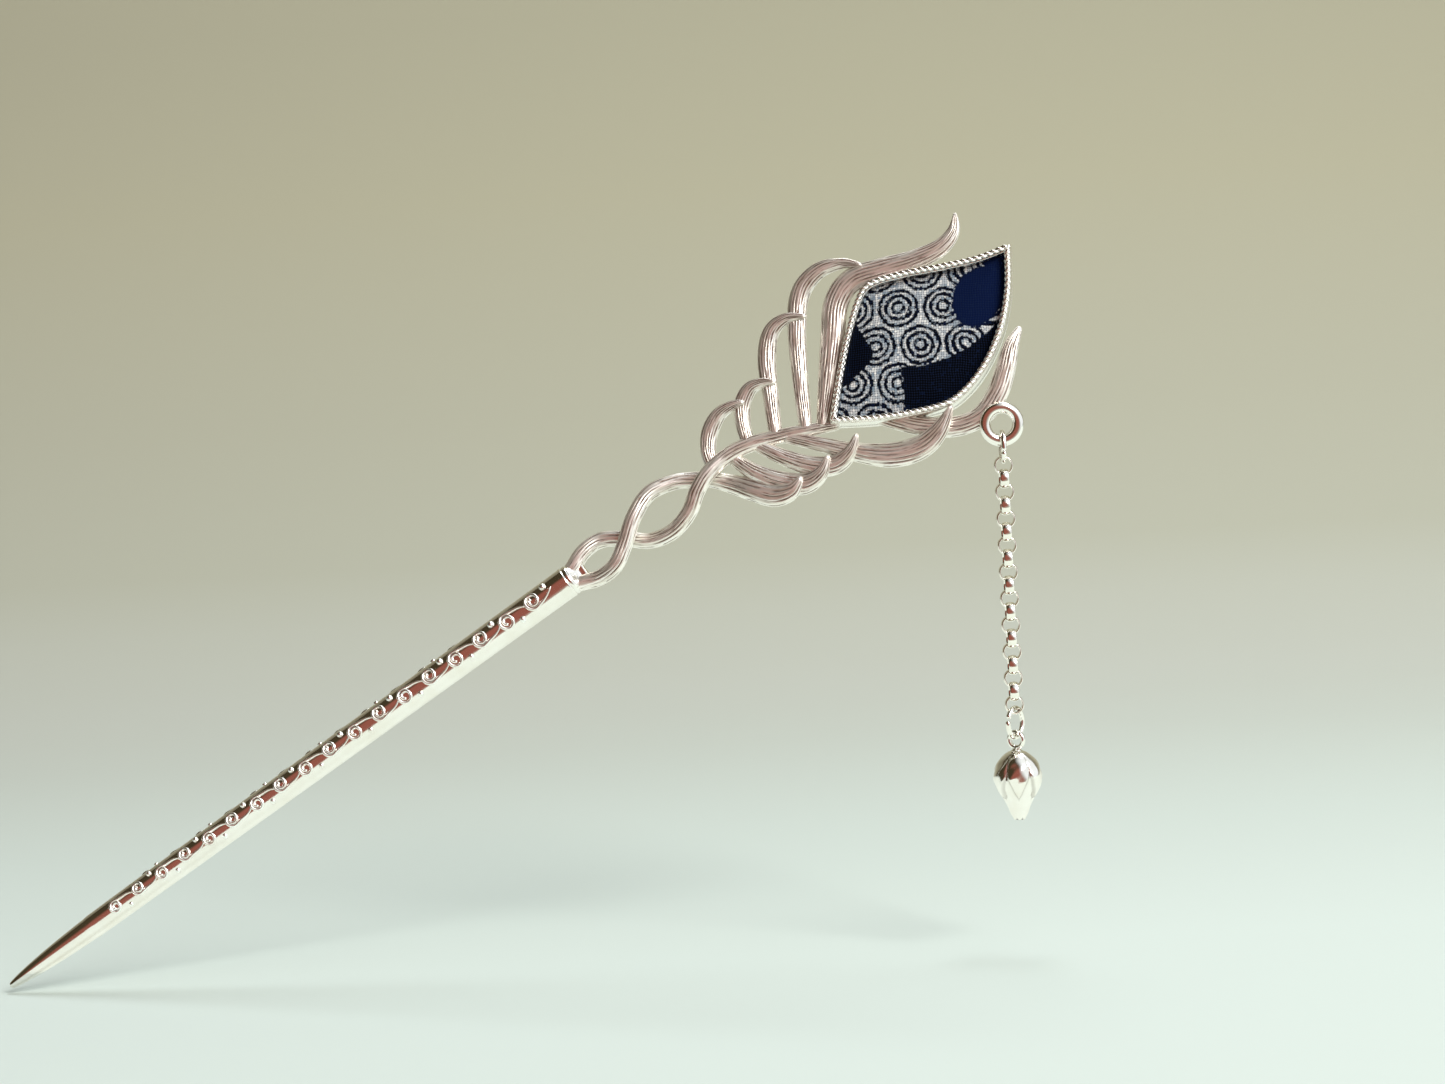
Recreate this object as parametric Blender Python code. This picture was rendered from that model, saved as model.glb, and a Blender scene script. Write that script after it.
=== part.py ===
"""Hair stick with a feather head, a cloth setting and a chain with a bud drop.

Metres, +Z up.  The stick leans in the XZ plane and is rolled a little about its own
length, the chain hangs straight down -Z, and the origin is the place on the stick's
axis where the hair grips it.
"""

import math

import bmesh
import bpy
from mathutils import Matrix, Vector

MM = 0.001

# ---- how the stick is held ------------------------------------------------------------
LEAN_DEG = 33.0            # the stick's length above the horizontal
ROLL_DEG = 20.0            # the head's face turned up about the stick's own length
GRIP_FROM_SEAM = 40.0      # from the shaft's seam back to the place the hair grips, mm

# ---- overall sizes, mm ----------------------------------------------------------------
SHAFT_LENGTH = 100.0       # point to seam
SHAFT_DIAMETER = 4.5       # at the seam
SLIM_DIAMETER = 3.6        # where the point begins
POINT_LENGTH = 20.0
FEATHER_LENGTH = 42.3      # seam to the pointed base of the setting
SETTING_LENGTH = 36.0
SETTING_WIDTH = 21.6

# ---- fits, mm -------------------------------------------------------------------------
SEAT_GAP = 0.03            # between two pieces soldered or glued together
HANG_GAP = 0.04            # between two rings that hang one in the other

# ---- yoke: tang, collar and web -------------------------------------------------------
TANG_DIAMETER = 2.1
TANG_LENGTH = 4.8
COLLAR_LENGTH = 0.9
WEB_LENGTH = 2.0
WEB_WIDTH = 3.0
WEB_THICKNESS = 1.0

# ---- feather strands and plumes, mm ---------------------------------------------------
STRAND_WIDTH = 2.3
STRAND_HEIGHT = 2.2
PLUME_WIDTH = 2.4
PLUME_HEIGHT = 2.2
CROSS_GAP = 0.1            # between two strands where one passes over the other

# ---- setting, mm ----------------------------------------------------------------------
SETTING_TURN_DEG = 9.5     # its long axis turned towards the upper plumes
SETTING_DEPTH = 3.0        # back face to the top of the plain wall
WALL_THICKNESS = 0.8
BACK_THICKNESS = 0.8
ROPE_DIAMETER = 0.9
BOARD_THICKNESS = 0.9
CLOTH_THICKNESS = 0.35
DOME_RISE = 1.1

# ---- chain, mm ------------------------------------------------------------------------
HANG_RING_DIAMETER = 6.3
HANG_RING_WIRE = 1.65
HANG_RING_SINK = 1.45      # how far it is let into the plume that carries it
HANG_RING_TURN_DEG = 24.0  # how far ahead of straight out from the setting it stands
JUMP_RING_DIAMETER = 4.8
JUMP_RING_WIRE = 0.7
JUMP_RING_SLIT = 0.15
LINK_COUNT = 19
LINK_DIAMETER = 2.76
LINK_STRIP = 0.38          # thickness of the strip
LINK_WIDTH = 1.25          # width of the strip
LINK_SIDES = 16
LOWER_RING_TURN_DEG = 35.0

# ---- bud drop, mm ---------------------------------------------------------------------
BUD_WIDTH = 6.9
BUD_LENGTH = 9.8
BUD_PETALS = 6
MOUTH_DEPTH = 0.8
EYE_DIAMETER = 2.8
EYE_WIRE = 0.62
PEG_DIAMETER = 1.0
PEG_LENGTH = 2.2


# ---- frames ---------------------------------------------------------------------------
def pin_frame():
    """Rows of the stick's frame: along to the head, across to the upper plumes, forward."""
    lean = math.radians(LEAN_DEG)
    roll = math.radians(ROLL_DEG)
    along = Vector((math.cos(lean), 0.0, math.sin(lean)))
    forward = Vector((0.0, -1.0, 0.0))
    forward = Matrix.Rotation(-roll, 3, along) @ forward
    across = forward.cross(along)
    turn = Matrix((along, across, forward)).transposed().to_4x4()
    return turn @ Matrix.Translation((GRIP_FROM_SEAM * MM, 0.0, 0.0))


PIN = pin_frame()

# The head is drawn on a grid whose unit is 1 mm at these sizes.
GRID_FEATHER = 42.3
GRID_BASE = (42.3, -4.3)
GRID_LENGTH = 36.0
GRID_WIDTH = 21.6
GRID_ROOT = 3.2            # behind this the strands' roots keep their place on the yoke
GRID_PLUME = 2.4
TWIST_END = 24.0           # ahead of this the plumes spread with the setting's width


def setting_point(along, across, height=0.0):
    """A point of the setting in mm, from its base and along its own long axis."""
    turn = math.radians(SETTING_TURN_DEG)
    base_t = GRID_BASE[1] * SETTING_WIDTH / GRID_WIDTH
    s = FEATHER_LENGTH + along * math.cos(turn) - across * math.sin(turn)
    t = base_t + along * math.sin(turn) + across * math.cos(turn)
    return Vector((s, t, height))


def head_point(s, t, height=0.0):
    """A grid point in mm: it follows the feather behind the base, and the setting ahead of it."""
    spread = SETTING_WIDTH / GRID_WIDTH
    if s <= GRID_BASE[0]:
        across = t * (spread if s > TWIST_END else 1.0)
        stretch = (FEATHER_LENGTH - GRID_ROOT) / (GRID_FEATHER - GRID_ROOT)
        ahead = s if s <= GRID_ROOT else GRID_ROOT + (s - GRID_ROOT) * stretch
        return Vector((ahead, across, height))
    turn = math.radians(SETTING_TURN_DEG)
    ahead = s - GRID_BASE[0]
    aside = t - GRID_BASE[1]
    along = ahead * math.cos(turn) + aside * math.sin(turn)
    across = aside * math.cos(turn) - ahead * math.sin(turn)
    return setting_point(along * SETTING_LENGTH / GRID_LENGTH, across * spread, height)


# ---- scene and materials --------------------------------------------------------------
def clear_scene():
    for old in list(bpy.data.objects):
        bpy.data.objects.remove(old, do_unlink=True)


def surface(name, colour, metallic, roughness):
    made = bpy.data.materials.new(name)
    made.use_nodes = True
    shader = made.node_tree.nodes["Principled BSDF"]
    shader.inputs["Base Color"].default_value = (*colour, 1.0)
    shader.inputs["Metallic"].default_value = metallic
    shader.inputs["Roughness"].default_value = roughness
    return made


SILVER = (0.83, 0.82, 0.79)


def finish(name, bm, origin, colour, metallic=1.0, roughness=0.28, smooth=True, helper=False):
    """Turns a bmesh in millimetres into an object with its own origin and material."""
    bmesh.ops.recalc_face_normals(bm, faces=bm.faces[:])
    bmesh.ops.translate(bm, verts=bm.verts[:], vec=-Vector(origin))
    bmesh.ops.scale(bm, verts=bm.verts[:], vec=(MM, MM, MM))
    mesh = bpy.data.meshes.new(name)
    bm.to_mesh(mesh)
    bm.free()
    obj = bpy.data.objects.new(name, mesh)
    bpy.context.scene.collection.objects.link(obj)
    obj.location = Vector(origin) * MM
    if helper:
        obj.hide_render = True
        obj.display_type = "WIRE"
        return obj
    mesh.materials.append(surface(name + "_metal", colour, metallic, roughness))
    if smooth:
        for face in mesh.polygons:
            face.use_smooth = True
        mesh.set_sharp_from_angle(angle=math.radians(40))
    return obj


def on_pin(obj):
    """Places an object drawn in the stick's frame."""
    obj.matrix_world = PIN @ Matrix.Translation(obj.location)
    return obj


def cut(obj, cutter, operation="DIFFERENCE"):
    modifier = obj.modifiers.new(operation.lower() + "_" + cutter.name, "BOOLEAN")
    modifier.operation = operation
    modifier.solver = "EXACT"
    modifier.object = cutter
    return obj


# ---- shapes ---------------------------------------------------------------------------
def bridge(bm, loops, closed=False):
    """Quads between neighbouring loops of equal length; closed also joins last to first."""
    count = len(loops[0])
    pairs = list(zip(loops, loops[1:]))
    if closed:
        pairs.append((loops[-1], loops[0]))
    for first, second in pairs:
        for i in range(count):
            j = (i + 1) % count
            bm.faces.new((first[i], first[j], second[j], second[i]))


def loft(stations, sides):
    """A solid along +X through ellipses, each station (along, half across, half forward)."""
    bm = bmesh.new()
    loops = []
    for along, half_t, half_n in stations:
        loop = []
        for k in range(sides):
            turn = 2 * math.pi * k / sides
            loop.append(bm.verts.new((along, half_t * math.cos(turn), half_n * math.sin(turn))))
        loops.append(loop)
    bridge(bm, loops)
    bm.faces.new(loops[0][::-1])
    bm.faces.new(loops[-1])
    return bm


def smooth_line(points, steps):
    """Points on a smooth line through the given ones, of any number of values each."""
    rows = [points[0]] + list(points) + [points[-1]]
    line = []
    for i in range(len(points) - 1):
        a, b, c, d = rows[i : i + 4]
        for k in range(steps):
            u = k / steps
            line.append(
                [
                    0.5
                    * (
                        2 * q
                        + (r - p) * u
                        + (2 * p - 5 * q + 4 * r - z) * u * u
                        + (3 * q - p - 3 * r + z) * u * u * u
                    )
                    for p, q, r, z in zip(a, b, c, d)
                ]
            )
    line.append(list(points[-1]))
    return line


def rod(points, sides=10, steps=3, grow=0.0):
    """A tapered rod.  Each point is (along, across, forward, width, height), in mm."""
    line = smooth_line(points, steps)
    middles = [Vector(p[:3]) for p in line]
    last = len(line) - 1
    bm = bmesh.new()
    loops = []
    for i, p in enumerate(line):
        tangent = (middles[min(i + 1, last)] - middles[max(i - 1, 0)]).normalized()
        side = Vector((0.0, 0.0, 1.0)).cross(tangent).normalized()
        up = tangent.cross(side)
        half_w = p[3] / 2 + grow
        half_h = p[4] / 2 + grow
        middle = middles[i]
        if i == 0:
            middle = middle - tangent * grow
        if i == last:
            middle = middle + tangent * grow
        loop = []
        for k in range(sides):
            turn = 2 * math.pi * (k + 0.5) / sides
            place = side * half_w * math.cos(turn) + up * half_h * math.sin(turn)
            loop.append(bm.verts.new(middle + place))
        loops.append(loop)
    bridge(bm, loops)
    bm.faces.new(loops[0][::-1])
    bm.faces.new(loops[-1])
    return bm


def torus(major, minor, ring_sides, wire_sides, centre=(0, 0, 0), slit=0.0, slit_at=0.0, stretch=1.0):
    """A ring about +Y.  A slit leaves it open there; stretch widens its section along +Y."""
    bm = bmesh.new()
    open_angle = slit / major
    count = ring_sides + 1 if slit else ring_sides
    loops = []
    for i in range(count):
        turn = slit_at + open_angle / 2 + (2 * math.pi - open_angle) * i / ring_sides
        out = Vector((math.cos(turn), 0.0, math.sin(turn)))
        loop = []
        for k in range(wire_sides):
            around = 2 * math.pi * k / wire_sides
            place = out * (major + minor * math.cos(around))
            place.y = minor * stretch * math.sin(around)
            loop.append(bm.verts.new(Vector(centre) + place))
        loops.append(loop)
    bridge(bm, loops, closed=not slit)
    if slit:
        bm.faces.new(loops[0][::-1])
        bm.faces.new(loops[-1])
    return bm


def strip_link(inner, outer, width, ring_sides, centre):
    """A chain link about +Y whose strip is thickest in the middle of its width."""
    middle = (inner + outer) / 2
    half = (outer - inner) / 2
    section = ((0.0, -1.0), (half, -0.5), (half, 0.5), (0.0, 1.0), (-half, 0.5), (-half, -0.5))
    bm = bmesh.new()
    loops = []
    for i in range(ring_sides):
        turn = 2 * math.pi * (i + 0.5) / ring_sides
        out = Vector((math.cos(turn), 0.0, math.sin(turn)))
        loop = []
        for thick, share in section:
            place = out * (middle + thick)
            place.y = share * width / 2
            loop.append(bm.verts.new(Vector(centre) + place))
        loops.append(loop)
    bridge(bm, loops, closed=True)
    return bm


# ---- the setting's leaf outline -------------------------------------------------------
UPPER_SIDE = ((0, 0), (5.3, 4.0), (11.3, 8.1), (16.0, 10.6), (18.3, 10.8), (22.2, 8.7), (27.0, 5.2),
              (31.4, 2.2), (36.0, 0))
LOWER_SIDE = ((0, 0), (5.3, -5.0), (11.0, -9.2), (14.4, -10.8), (20.0, -10.6), (26.0, -8.4),
              (31.0, -5.0), (36.0, 0))


def to_size(side):
    """The side's grid points in mm."""
    return [(x * SETTING_LENGTH / GRID_LENGTH, y * SETTING_WIDTH / GRID_WIDTH) for x, y in side]


UPPER = to_size(UPPER_SIDE)
LOWER = to_size(LOWER_SIDE)


def side_height(side, along):
    """How far the outline stands off the long axis here, and its slope."""
    if along <= 0:
        slope = side[1][1] / side[1][0]
        return slope * along, slope
    end = side[-1][0]
    if along >= end:
        slope = (side[-1][1] - side[-2][1]) / (side[-1][0] - side[-2][0])
        return slope * (along - end), slope
    rows = [(2 * side[0][0] - side[1][0], 2 * side[0][1] - side[1][1])] + list(side)
    rows.append((2 * side[-1][0] - side[-2][0], 2 * side[-1][1] - side[-2][1]))
    i = 1
    while rows[i + 1][0] < along:
        i += 1
    (x0, y0), (x1, y1), (x2, y2), (x3, y3) = rows[i - 1 : i + 3]
    start = (y2 - y0) / (x2 - x0)
    stop = (y3 - y1) / (x3 - x1)
    span = x2 - x1
    u = (along - x1) / span
    height = (
        (2 * u**3 - 3 * u**2 + 1) * y1
        + (u**3 - 2 * u**2 + u) * span * start
        + (3 * u**2 - 2 * u**3) * y2
        + (u**3 - u**2) * span * stop
    )
    slope = (
        (6 * u**2 - 6 * u) * (y1 - y2) / span
        + (3 * u**2 - 4 * u + 1) * start
        + (3 * u**2 - 2 * u) * stop
    )
    return height, slope


def leaf_half(side, along, inset):
    """The side moved in towards the long axis by inset."""
    height, slope = side_height(side, along)
    inward = -inset if side is UPPER else inset
    return height + inward * math.sqrt(1 + slope * slope)


def leaf_tip(inset, start, step):
    """Where the two sides meet, walking in from outside."""
    along = start
    while leaf_half(UPPER, along, inset) <= leaf_half(LOWER, along, inset):
        along += step
    return along


def leaf_loop(inset, count=22):
    """(along, across) round the outline moved in by inset; the same count for any inset."""
    first = leaf_tip(inset, -4.0, 0.01)
    last = leaf_tip(inset, SETTING_LENGTH + 4.0, -0.01)
    upper = []
    lower = []
    for i in range(1, count):
        along = first + (last - first) * i / count
        upper.append((along, leaf_half(UPPER, along, inset)))
        lower.append((along, leaf_half(LOWER, along, inset)))
    ends = []
    for along in (first, last):
        ends.append((along, (leaf_half(UPPER, along, inset) + leaf_half(LOWER, along, inset)) / 2))
    return [ends[0]] + upper + [ends[1]] + lower[::-1]


def leaf_solid(section, ring):
    """A body of loops (inset, height) round the leaf: a ring, or a plate closed by two caps."""
    bm = bmesh.new()
    loops = []
    for inset, height in section:
        loops.append([bm.verts.new(setting_point(x, y, height)) for x, y in leaf_loop(inset)])
    bridge(bm, loops, closed=ring)
    if not ring:
        bm.faces.new(loops[0][::-1])
        bm.faces.new(loops[-1])
    return bm


# ---- shaft and yoke -------------------------------------------------------------------
def make_shaft():
    wide = SHAFT_DIAMETER / 2
    slim = SLIM_DIAMETER / 2
    end = -SHAFT_LENGTH
    stations = []
    for ahead, share in ((0.0, 0.15), (0.02, 0.27), (0.15, 0.52), (0.4, 0.77), (0.7, 0.93), (1.0, 1.0)):
        stations.append((end + ahead * POINT_LENGTH, share * slim, share * slim))
    start = end + POINT_LENGTH
    middle = slim + 0.72 * (wide - slim)
    stations.append((start + 0.62 * (-start), middle, middle))
    stations.append((-0.25 - SEAT_GAP, wide, wide))
    stations.append((-SEAT_GAP, wide - 0.15, wide - 0.15))
    shaft = finish("shaft", loft(stations, 28), (0, 0, 0), SILVER)
    bore = TANG_DIAMETER / 2 + SEAT_GAP
    tool = loft(((-TANG_LENGTH - SEAT_GAP, bore, bore), (1.0, bore, bore)), 20)
    cutter = finish("bore_cutter", tool, (0, 0, 0), SILVER, helper=True)
    cut(on_pin(shaft), on_pin(cutter))


def yoke_stations(grow):
    tang = TANG_DIAMETER / 2 + grow
    collar = SHAFT_DIAMETER / 2 + grow
    web = WEB_THICKNESS / 2 + grow
    start = COLLAR_LENGTH + grow
    return (
        (-TANG_LENGTH, tang, tang),
        (-grow, tang, tang),
        (-grow, collar - 0.15, collar - 0.15),
        (0.25, collar, collar),
        (start - 0.2, collar, collar),
        (start, collar - 0.25, collar - 0.25),
        (start, WEB_WIDTH / 2 - 0.1, web),
        (start + WEB_LENGTH, WEB_WIDTH / 2 + 0.1, web),
    )


def make_yoke():
    on_pin(finish("yoke", loft(yoke_stations(0.0), 20), (0, 0, 0), SILVER))
    tool = loft(yoke_stations(SEAT_GAP), 20)
    return on_pin(finish("yoke_cutter", tool, (0, 0, 0), SILVER, helper=True))


# ---- feather --------------------------------------------------------------------------
# Grid points (along, across, lift, width, height).  Lift is in shares of the height that
# lets two strands cross, or of PLUME_HEIGHT; width and height are shares of the piece's own.
SPINE = (
    (0.5, 1.2, 0.0, 1.0, 1.0), (3.2, 2.4, -0.26, 1.0, 1.0), (6.1, 2.6, -1.0, 1.0, 1.0),
    (8.9, 0.8, -1.0, 1.0, 1.0), (12.0, -1.9, -1.0, 1.0, 1.0), (15.4, -3.0, -0.26, 1.0, 1.0),
    (18.8, -2.4, 0.52, 1.0, 1.0), (21.4, -0.8, 1.0, 1.0, 1.0), (24.0, 0.4, 1.0, 1.0, 1.0),
    (27.5, 1.1, 0.52, 1.0, 1.0), (31.5, 0.6, 0.17, 1.0, 1.0), (36.5, -1.4, 0.0, 0.92, 0.95),
    (40.0, -3.1, 0.0, 0.78, 0.9), (43.5, -4.9, 0.0, 0.6, 0.82),
)
TWIST = (
    (0.5, -1.3, 0.0, 1.0, 1.0), (3.2, -2.4, 0.26, 1.0, 1.0), (6.0, -2.5, 1.0, 1.0, 1.0),
    (8.6, -0.9, 1.0, 1.0, 1.0), (12.0, 1.7, 1.0, 1.0, 1.0), (15.6, 3.5, 0.26, 1.0, 1.0),
    (19.0, 3.2, -0.52, 1.0, 1.0), (21.6, 2.0, -1.0, 1.0, 1.0), (24.0, 0.2, -1.0, 1.0, 1.0),
    (26.2, -2.4, -0.78, 1.22, 1.0), (28.1, -5.1, -0.17, 1.43, 1.0), (30.1, -7.7, 0.17, 1.48, 1.0),
    (32.4, -8.8, 0.7, 1.09, 0.82), (34.7, -8.1, 1.13, 0.3, 0.32),
)

# Each plume: its root in the spine, its stem, its crest, and the tip that curls forward
# over the next plume.
UPPER_PLUMES = (
    ((25.3, 0.6, 0.0, 0.79, 0.86), (25.9, 3.2, 0.0, 0.92, 1.0), (27.7, 5.6, 0.0, 1.04, 1.0),
     (30.2, 6.9, 0.14, 0.92, 0.91), (32.6, 6.7, 0.41, 0.62, 0.68), (34.4, 5.9, 0.59, 0.25, 0.27)),
    ((31.2, 0.6, 0.0, 0.79, 0.86), (32.2, 3.4, 0.0, 0.92, 1.0), (33.7, 6.0, 0.0, 1.04, 1.0),
     (35.9, 7.3, 0.14, 0.92, 0.91), (38.0, 6.8, 0.41, 0.62, 0.68), (39.6, 5.5, 0.59, 0.25, 0.27)),
    ((35.0, -0.8, 0.0, 0.79, 0.86), (37.6, 4.2, 0.0, 0.96, 1.0), (40.4, 9.4, 0.0, 1.12, 1.0),
     (43.2, 12.4, 0.09, 1.04, 0.95), (46.1, 12.6, 0.36, 0.71, 0.73), (48.7, 10.9, 0.59, 0.25, 0.27)),
    ((39.0, -2.6, 0.0, 0.79, 0.86), (42.6, 4.0, 0.0, 0.96, 1.0), (46.4, 10.4, 0.0, 1.12, 1.0),
     (49.9, 14.6, 0.05, 1.21, 1.0), (53.8, 15.7, 0.23, 1.04, 0.91), (57.2, 14.4, 0.41, 0.67, 0.68),
     (59.4, 12.2, 0.59, 0.25, 0.27)),
    ((41.2, -3.6, 0.0, 0.75, 0.86), (45.7, 1.5, 0.0, 1.2, 1.0), (50.0, 6.5, 0.0, 1.46, 1.05),
     (53.3, 10.3, 0.0, 1.54, 1.05), (56.9, 11.6, 0.09, 1.54, 1.05), (61.1, 10.3, 0.18, 1.46, 1.05),
     (65.4, 8.5, 0.27, 1.33, 1.0), (69.5, 7.6, 0.32, 1.12, 0.91), (72.6, 8.4, 0.32, 0.79, 0.73),
     (74.5, 10.6, 0.32, 0.21, 0.27)),
)
LOWER_PLUMES = (
    ((28.4, 0.2, 0.0, 0.79, 0.82), (29.8, -3.4, 0.0, 1.08, 0.95), (32.1, -6.8, 0.0, 1.29, 1.0),
     (34.6, -9.0, 0.09, 1.29, 0.95), (37.3, -9.2, 0.36, 0.87, 0.77), (39.6, -7.8, 0.59, 0.25, 0.27)),
    ((32.2, 0.0, 0.0, 0.79, 0.82), (34.4, -4.1, 0.0, 1.0, 0.95), (36.9, -7.5, 0.0, 1.21, 1.0),
     (39.6, -9.3, 0.09, 1.21, 0.95), (42.3, -9.2, 0.36, 0.83, 0.77), (44.6, -7.7, 0.59, 0.25, 0.27)),
    ((36.2, -1.6, 0.0, 0.75, 0.82), (39.6, -5.6, 0.0, 0.88, 0.95), (43.0, -9.6, 0.0, 1.17, 1.0),
     (46.6, -12.9, 0.05, 1.5, 1.05), (50.4, -14.6, 0.18, 1.46, 1.0), (54.0, -14.4, 0.41, 1.08, 0.86),
     (57.6, -12.6, 0.68, 0.29, 0.32)),
    ((48.2, -6.6, -0.09, 1.0, 0.82), (52.0, -11.4, -0.14, 1.17, 0.91), (55.8, -14.7, -0.09, 1.25, 0.95),
     (59.8, -16.0, 0.0, 1.25, 1.0), (63.4, -14.9, 0.09, 1.29, 1.0), (66.4, -12.8, 0.14, 1.21, 0.95),
     (69.2, -10.4, 0.18, 0.92, 0.86), (72.0, -8.8, 0.18, 0.33, 0.36)),
)
CARRIER = 3                # the last lower plume's point that carries the hang ring


def in_mm(points, width, height, lift):
    """Grid points turned into mm with the piece's own width, height and lift."""
    return [(*head_point(s, t, up * lift), w * width, h * height) for s, t, up, w, h in points]


def strand_line(points):
    return in_mm(points, STRAND_WIDTH, STRAND_HEIGHT, (STRAND_HEIGHT + CROSS_GAP) / 2)


def plume_line(points):
    return in_mm(points, PLUME_WIDTH, PLUME_HEIGHT, PLUME_HEIGHT)


def plume_lines(row, side):
    """The row's lines in mm.  At any plume width the last plume keeps its edge on the wall,
    and each other plume's tip stays over the edge of the next plume."""
    turn = math.radians(SETTING_TURN_DEG)
    narrower = (GRID_PLUME - PLUME_WIDTH) / 2
    lines = []
    for number, points in enumerate(row):
        before_last = len(row) - 1 - number
        line = []
        for place, (x, y, up, width, height) in enumerate(plume_line(points)):
            inward = 0.0
            if before_last == 0:
                inward = width / PLUME_WIDTH * narrower
            elif place >= len(points) - 2:
                inward = (3.0 if before_last == 1 else 1.2) * narrower
            x += side * inward * math.sin(turn)
            y -= side * inward * math.cos(turn)
            line.append((x, y, up, width, height))
        lines.append(line)
    return lines


def ring_centre():
    """The hang ring's middle, outside the plume that carries it."""
    turn = math.radians(SETTING_TURN_DEG + HANG_RING_TURN_DEG)
    outward = Vector((math.sin(turn), -math.cos(turn), 0.0))
    carrier = plume_lines(LOWER_PLUMES, -1)[-1][CARRIER]
    reach = carrier[3] / 2 + HANG_RING_DIAMETER / 2 - HANG_RING_SINK
    return Vector((carrier[0], carrier[1], 0.0)) + outward * reach


def plume_pair(name, points):
    """The piece and its fattened twin, which cuts the seat of whatever lies on it."""
    start = points[0][:3]
    twin = finish(name + "_cutter", rod(points, grow=SEAT_GAP), start, SILVER, helper=True)
    piece = finish(name, rod(points), start, SILVER, roughness=0.3)
    return on_pin(piece), on_pin(twin)


def make_feather(yoke_tool, setting_tool, ring_tool):
    spine, spine_tool = plume_pair("spine", strand_line(SPINE))
    cut(spine, yoke_tool)
    cut(spine, setting_tool)
    twist, twist_tool = plume_pair("twist_strand", strand_line(TWIST))
    cut(twist, yoke_tool)
    uppers = []
    for number, line in enumerate(plume_lines(UPPER_PLUMES, 1), 1):
        uppers.append(plume_pair(f"plume_upper_{number}", line))
    lowers = []
    for number, line in enumerate(plume_lines(LOWER_PLUMES, -1), 2):
        lowers.append(plume_pair(f"plume_lower_{number}", line))
    for row in (uppers, lowers):
        for (plume, _), (_, next_tool) in zip(row, row[1:]):
            cut(plume, next_tool)
        for plume, _ in row:
            cut(plume, spine_tool)
            cut(plume, setting_tool)
    cut(uppers[0][0], twist_tool)
    cut(twist, lowers[0][1])
    cut(lowers[-1][0], ring_tool)


# ---- setting --------------------------------------------------------------------------
BACK = -SETTING_DEPTH / 2
TOP = SETTING_DEPTH / 2


def make_setting():
    """Returns the fattened whole, which cuts the seats of the plumes round it."""
    start = setting_point(0, 0, 0)
    plate = ((0.0, BACK), (0.0, BACK + BACK_THICKNESS))
    on_pin(finish("setting_back", leaf_solid(plate, False), start, SILVER, roughness=0.35))
    low = BACK + BACK_THICKNESS + SEAT_GAP
    wall = ((0.0, low), (0.0, TOP), (WALL_THICKNESS, TOP), (WALL_THICKNESS, low))
    on_pin(finish("setting_wall", leaf_solid(wall, True), start, SILVER))
    rope = []
    radius = ROPE_DIAMETER / 2
    for k in range(8):
        turn = 2 * math.pi * (k + 0.5) / 8
        inset = WALL_THICKNESS / 2 - radius * math.cos(turn)
        rope.append((inset, TOP + SEAT_GAP + radius * math.cos(math.pi / 8) + radius * math.sin(turn)))
    on_pin(finish("rope_edge", leaf_solid(rope, True), start, SILVER, roughness=0.25))
    edge = WALL_THICKNESS + 2 * SEAT_GAP
    board_top = low + BOARD_THICKNESS
    crown = board_top + DOME_RISE
    inner = SETTING_WIDTH / 2 - edge
    board = (
        (edge, low), (edge, board_top), (edge + 0.16 * inner, board_top + 0.55 * DOME_RISE),
        (edge + 0.36 * inner, board_top + 0.88 * DOME_RISE), (edge + 0.62 * inner, crown),
    )
    pad = finish("cloth_board", leaf_solid(board, False), start, (0.55, 0.50, 0.42), 0.0, 0.9)
    on_pin(pad)
    lift = SEAT_GAP
    thick = CLOTH_THICKNESS
    cloth = []
    for inset, height in board[:0:-1]:
        cloth.append((inset, height + lift))
    for inset, height in board[1:]:
        cloth.append((inset, height + lift + thick))
    cloth_object = finish("cloth", leaf_solid(cloth, False), start, (0.10, 0.12, 0.22), 0.0, 0.85)
    on_pin(cloth_object)
    whole = ((-SEAT_GAP, BACK - SEAT_GAP), (-SEAT_GAP, TOP + ROPE_DIAMETER))
    return on_pin(finish("setting_cutter", leaf_solid(whole, False), start, SILVER, helper=True))


# ---- chain ----------------------------------------------------------------------------
def sag(radius, offset):
    """How far a circle has risen at this distance to the side of its lowest point."""
    return radius - math.sqrt(radius * radius - offset * offset)


def strip_face(offset):
    """The strip link's inside radius at this distance to the side of its middle."""
    outer = LINK_DIAMETER / 2
    inner = outer - LINK_STRIP
    share = 2 * offset / LINK_WIDTH
    facet = inner * math.cos(math.pi / LINK_SIDES)
    return facet if share <= 0.5 else facet + (share - 0.5) * (outer - inner)


def strip_pitch():
    """The longest step from one strip link to the next, turned a quarter, with a gap left."""
    least = LINK_DIAMETER
    for k in range(41):
        offset = LINK_WIDTH / 2 * k / 40
        least = min(least, math.sqrt(strip_face(0.0) ** 2 - offset * offset) + strip_face(offset))
    return least - HANG_GAP


def wire_depth(turn):
    """How far from a strip link's middle a jump ring's wire can pass, slanting by turn."""
    major = (JUMP_RING_DIAMETER - JUMP_RING_WIRE) / 2
    wire = JUMP_RING_WIRE / 2
    least = LINK_DIAMETER
    for k in range(41):
        offset = LINK_WIDTH / 2 * k / 40
        for degrees in range(0, 61, 5):
            around = math.radians(degrees)
            aside = offset * math.tan(turn) + wire * math.sin(around) / math.cos(turn)
            room = strip_face(offset) ** 2 - aside * aside
            if room > 0:
                down = math.sqrt(room) - wire * math.cos(around) - sag(major, offset / math.cos(turn))
                least = min(least, down)
    return least


def make_ring_cutter(centre):
    major = (HANG_RING_DIAMETER - HANG_RING_WIRE) / 2
    tool = torus(major, HANG_RING_WIRE / 2 + SEAT_GAP, 28, 12)
    obj = finish("hang_ring_cutter", tool, (0, 0, 0), SILVER, helper=True)
    obj.location = centre
    return obj


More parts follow.
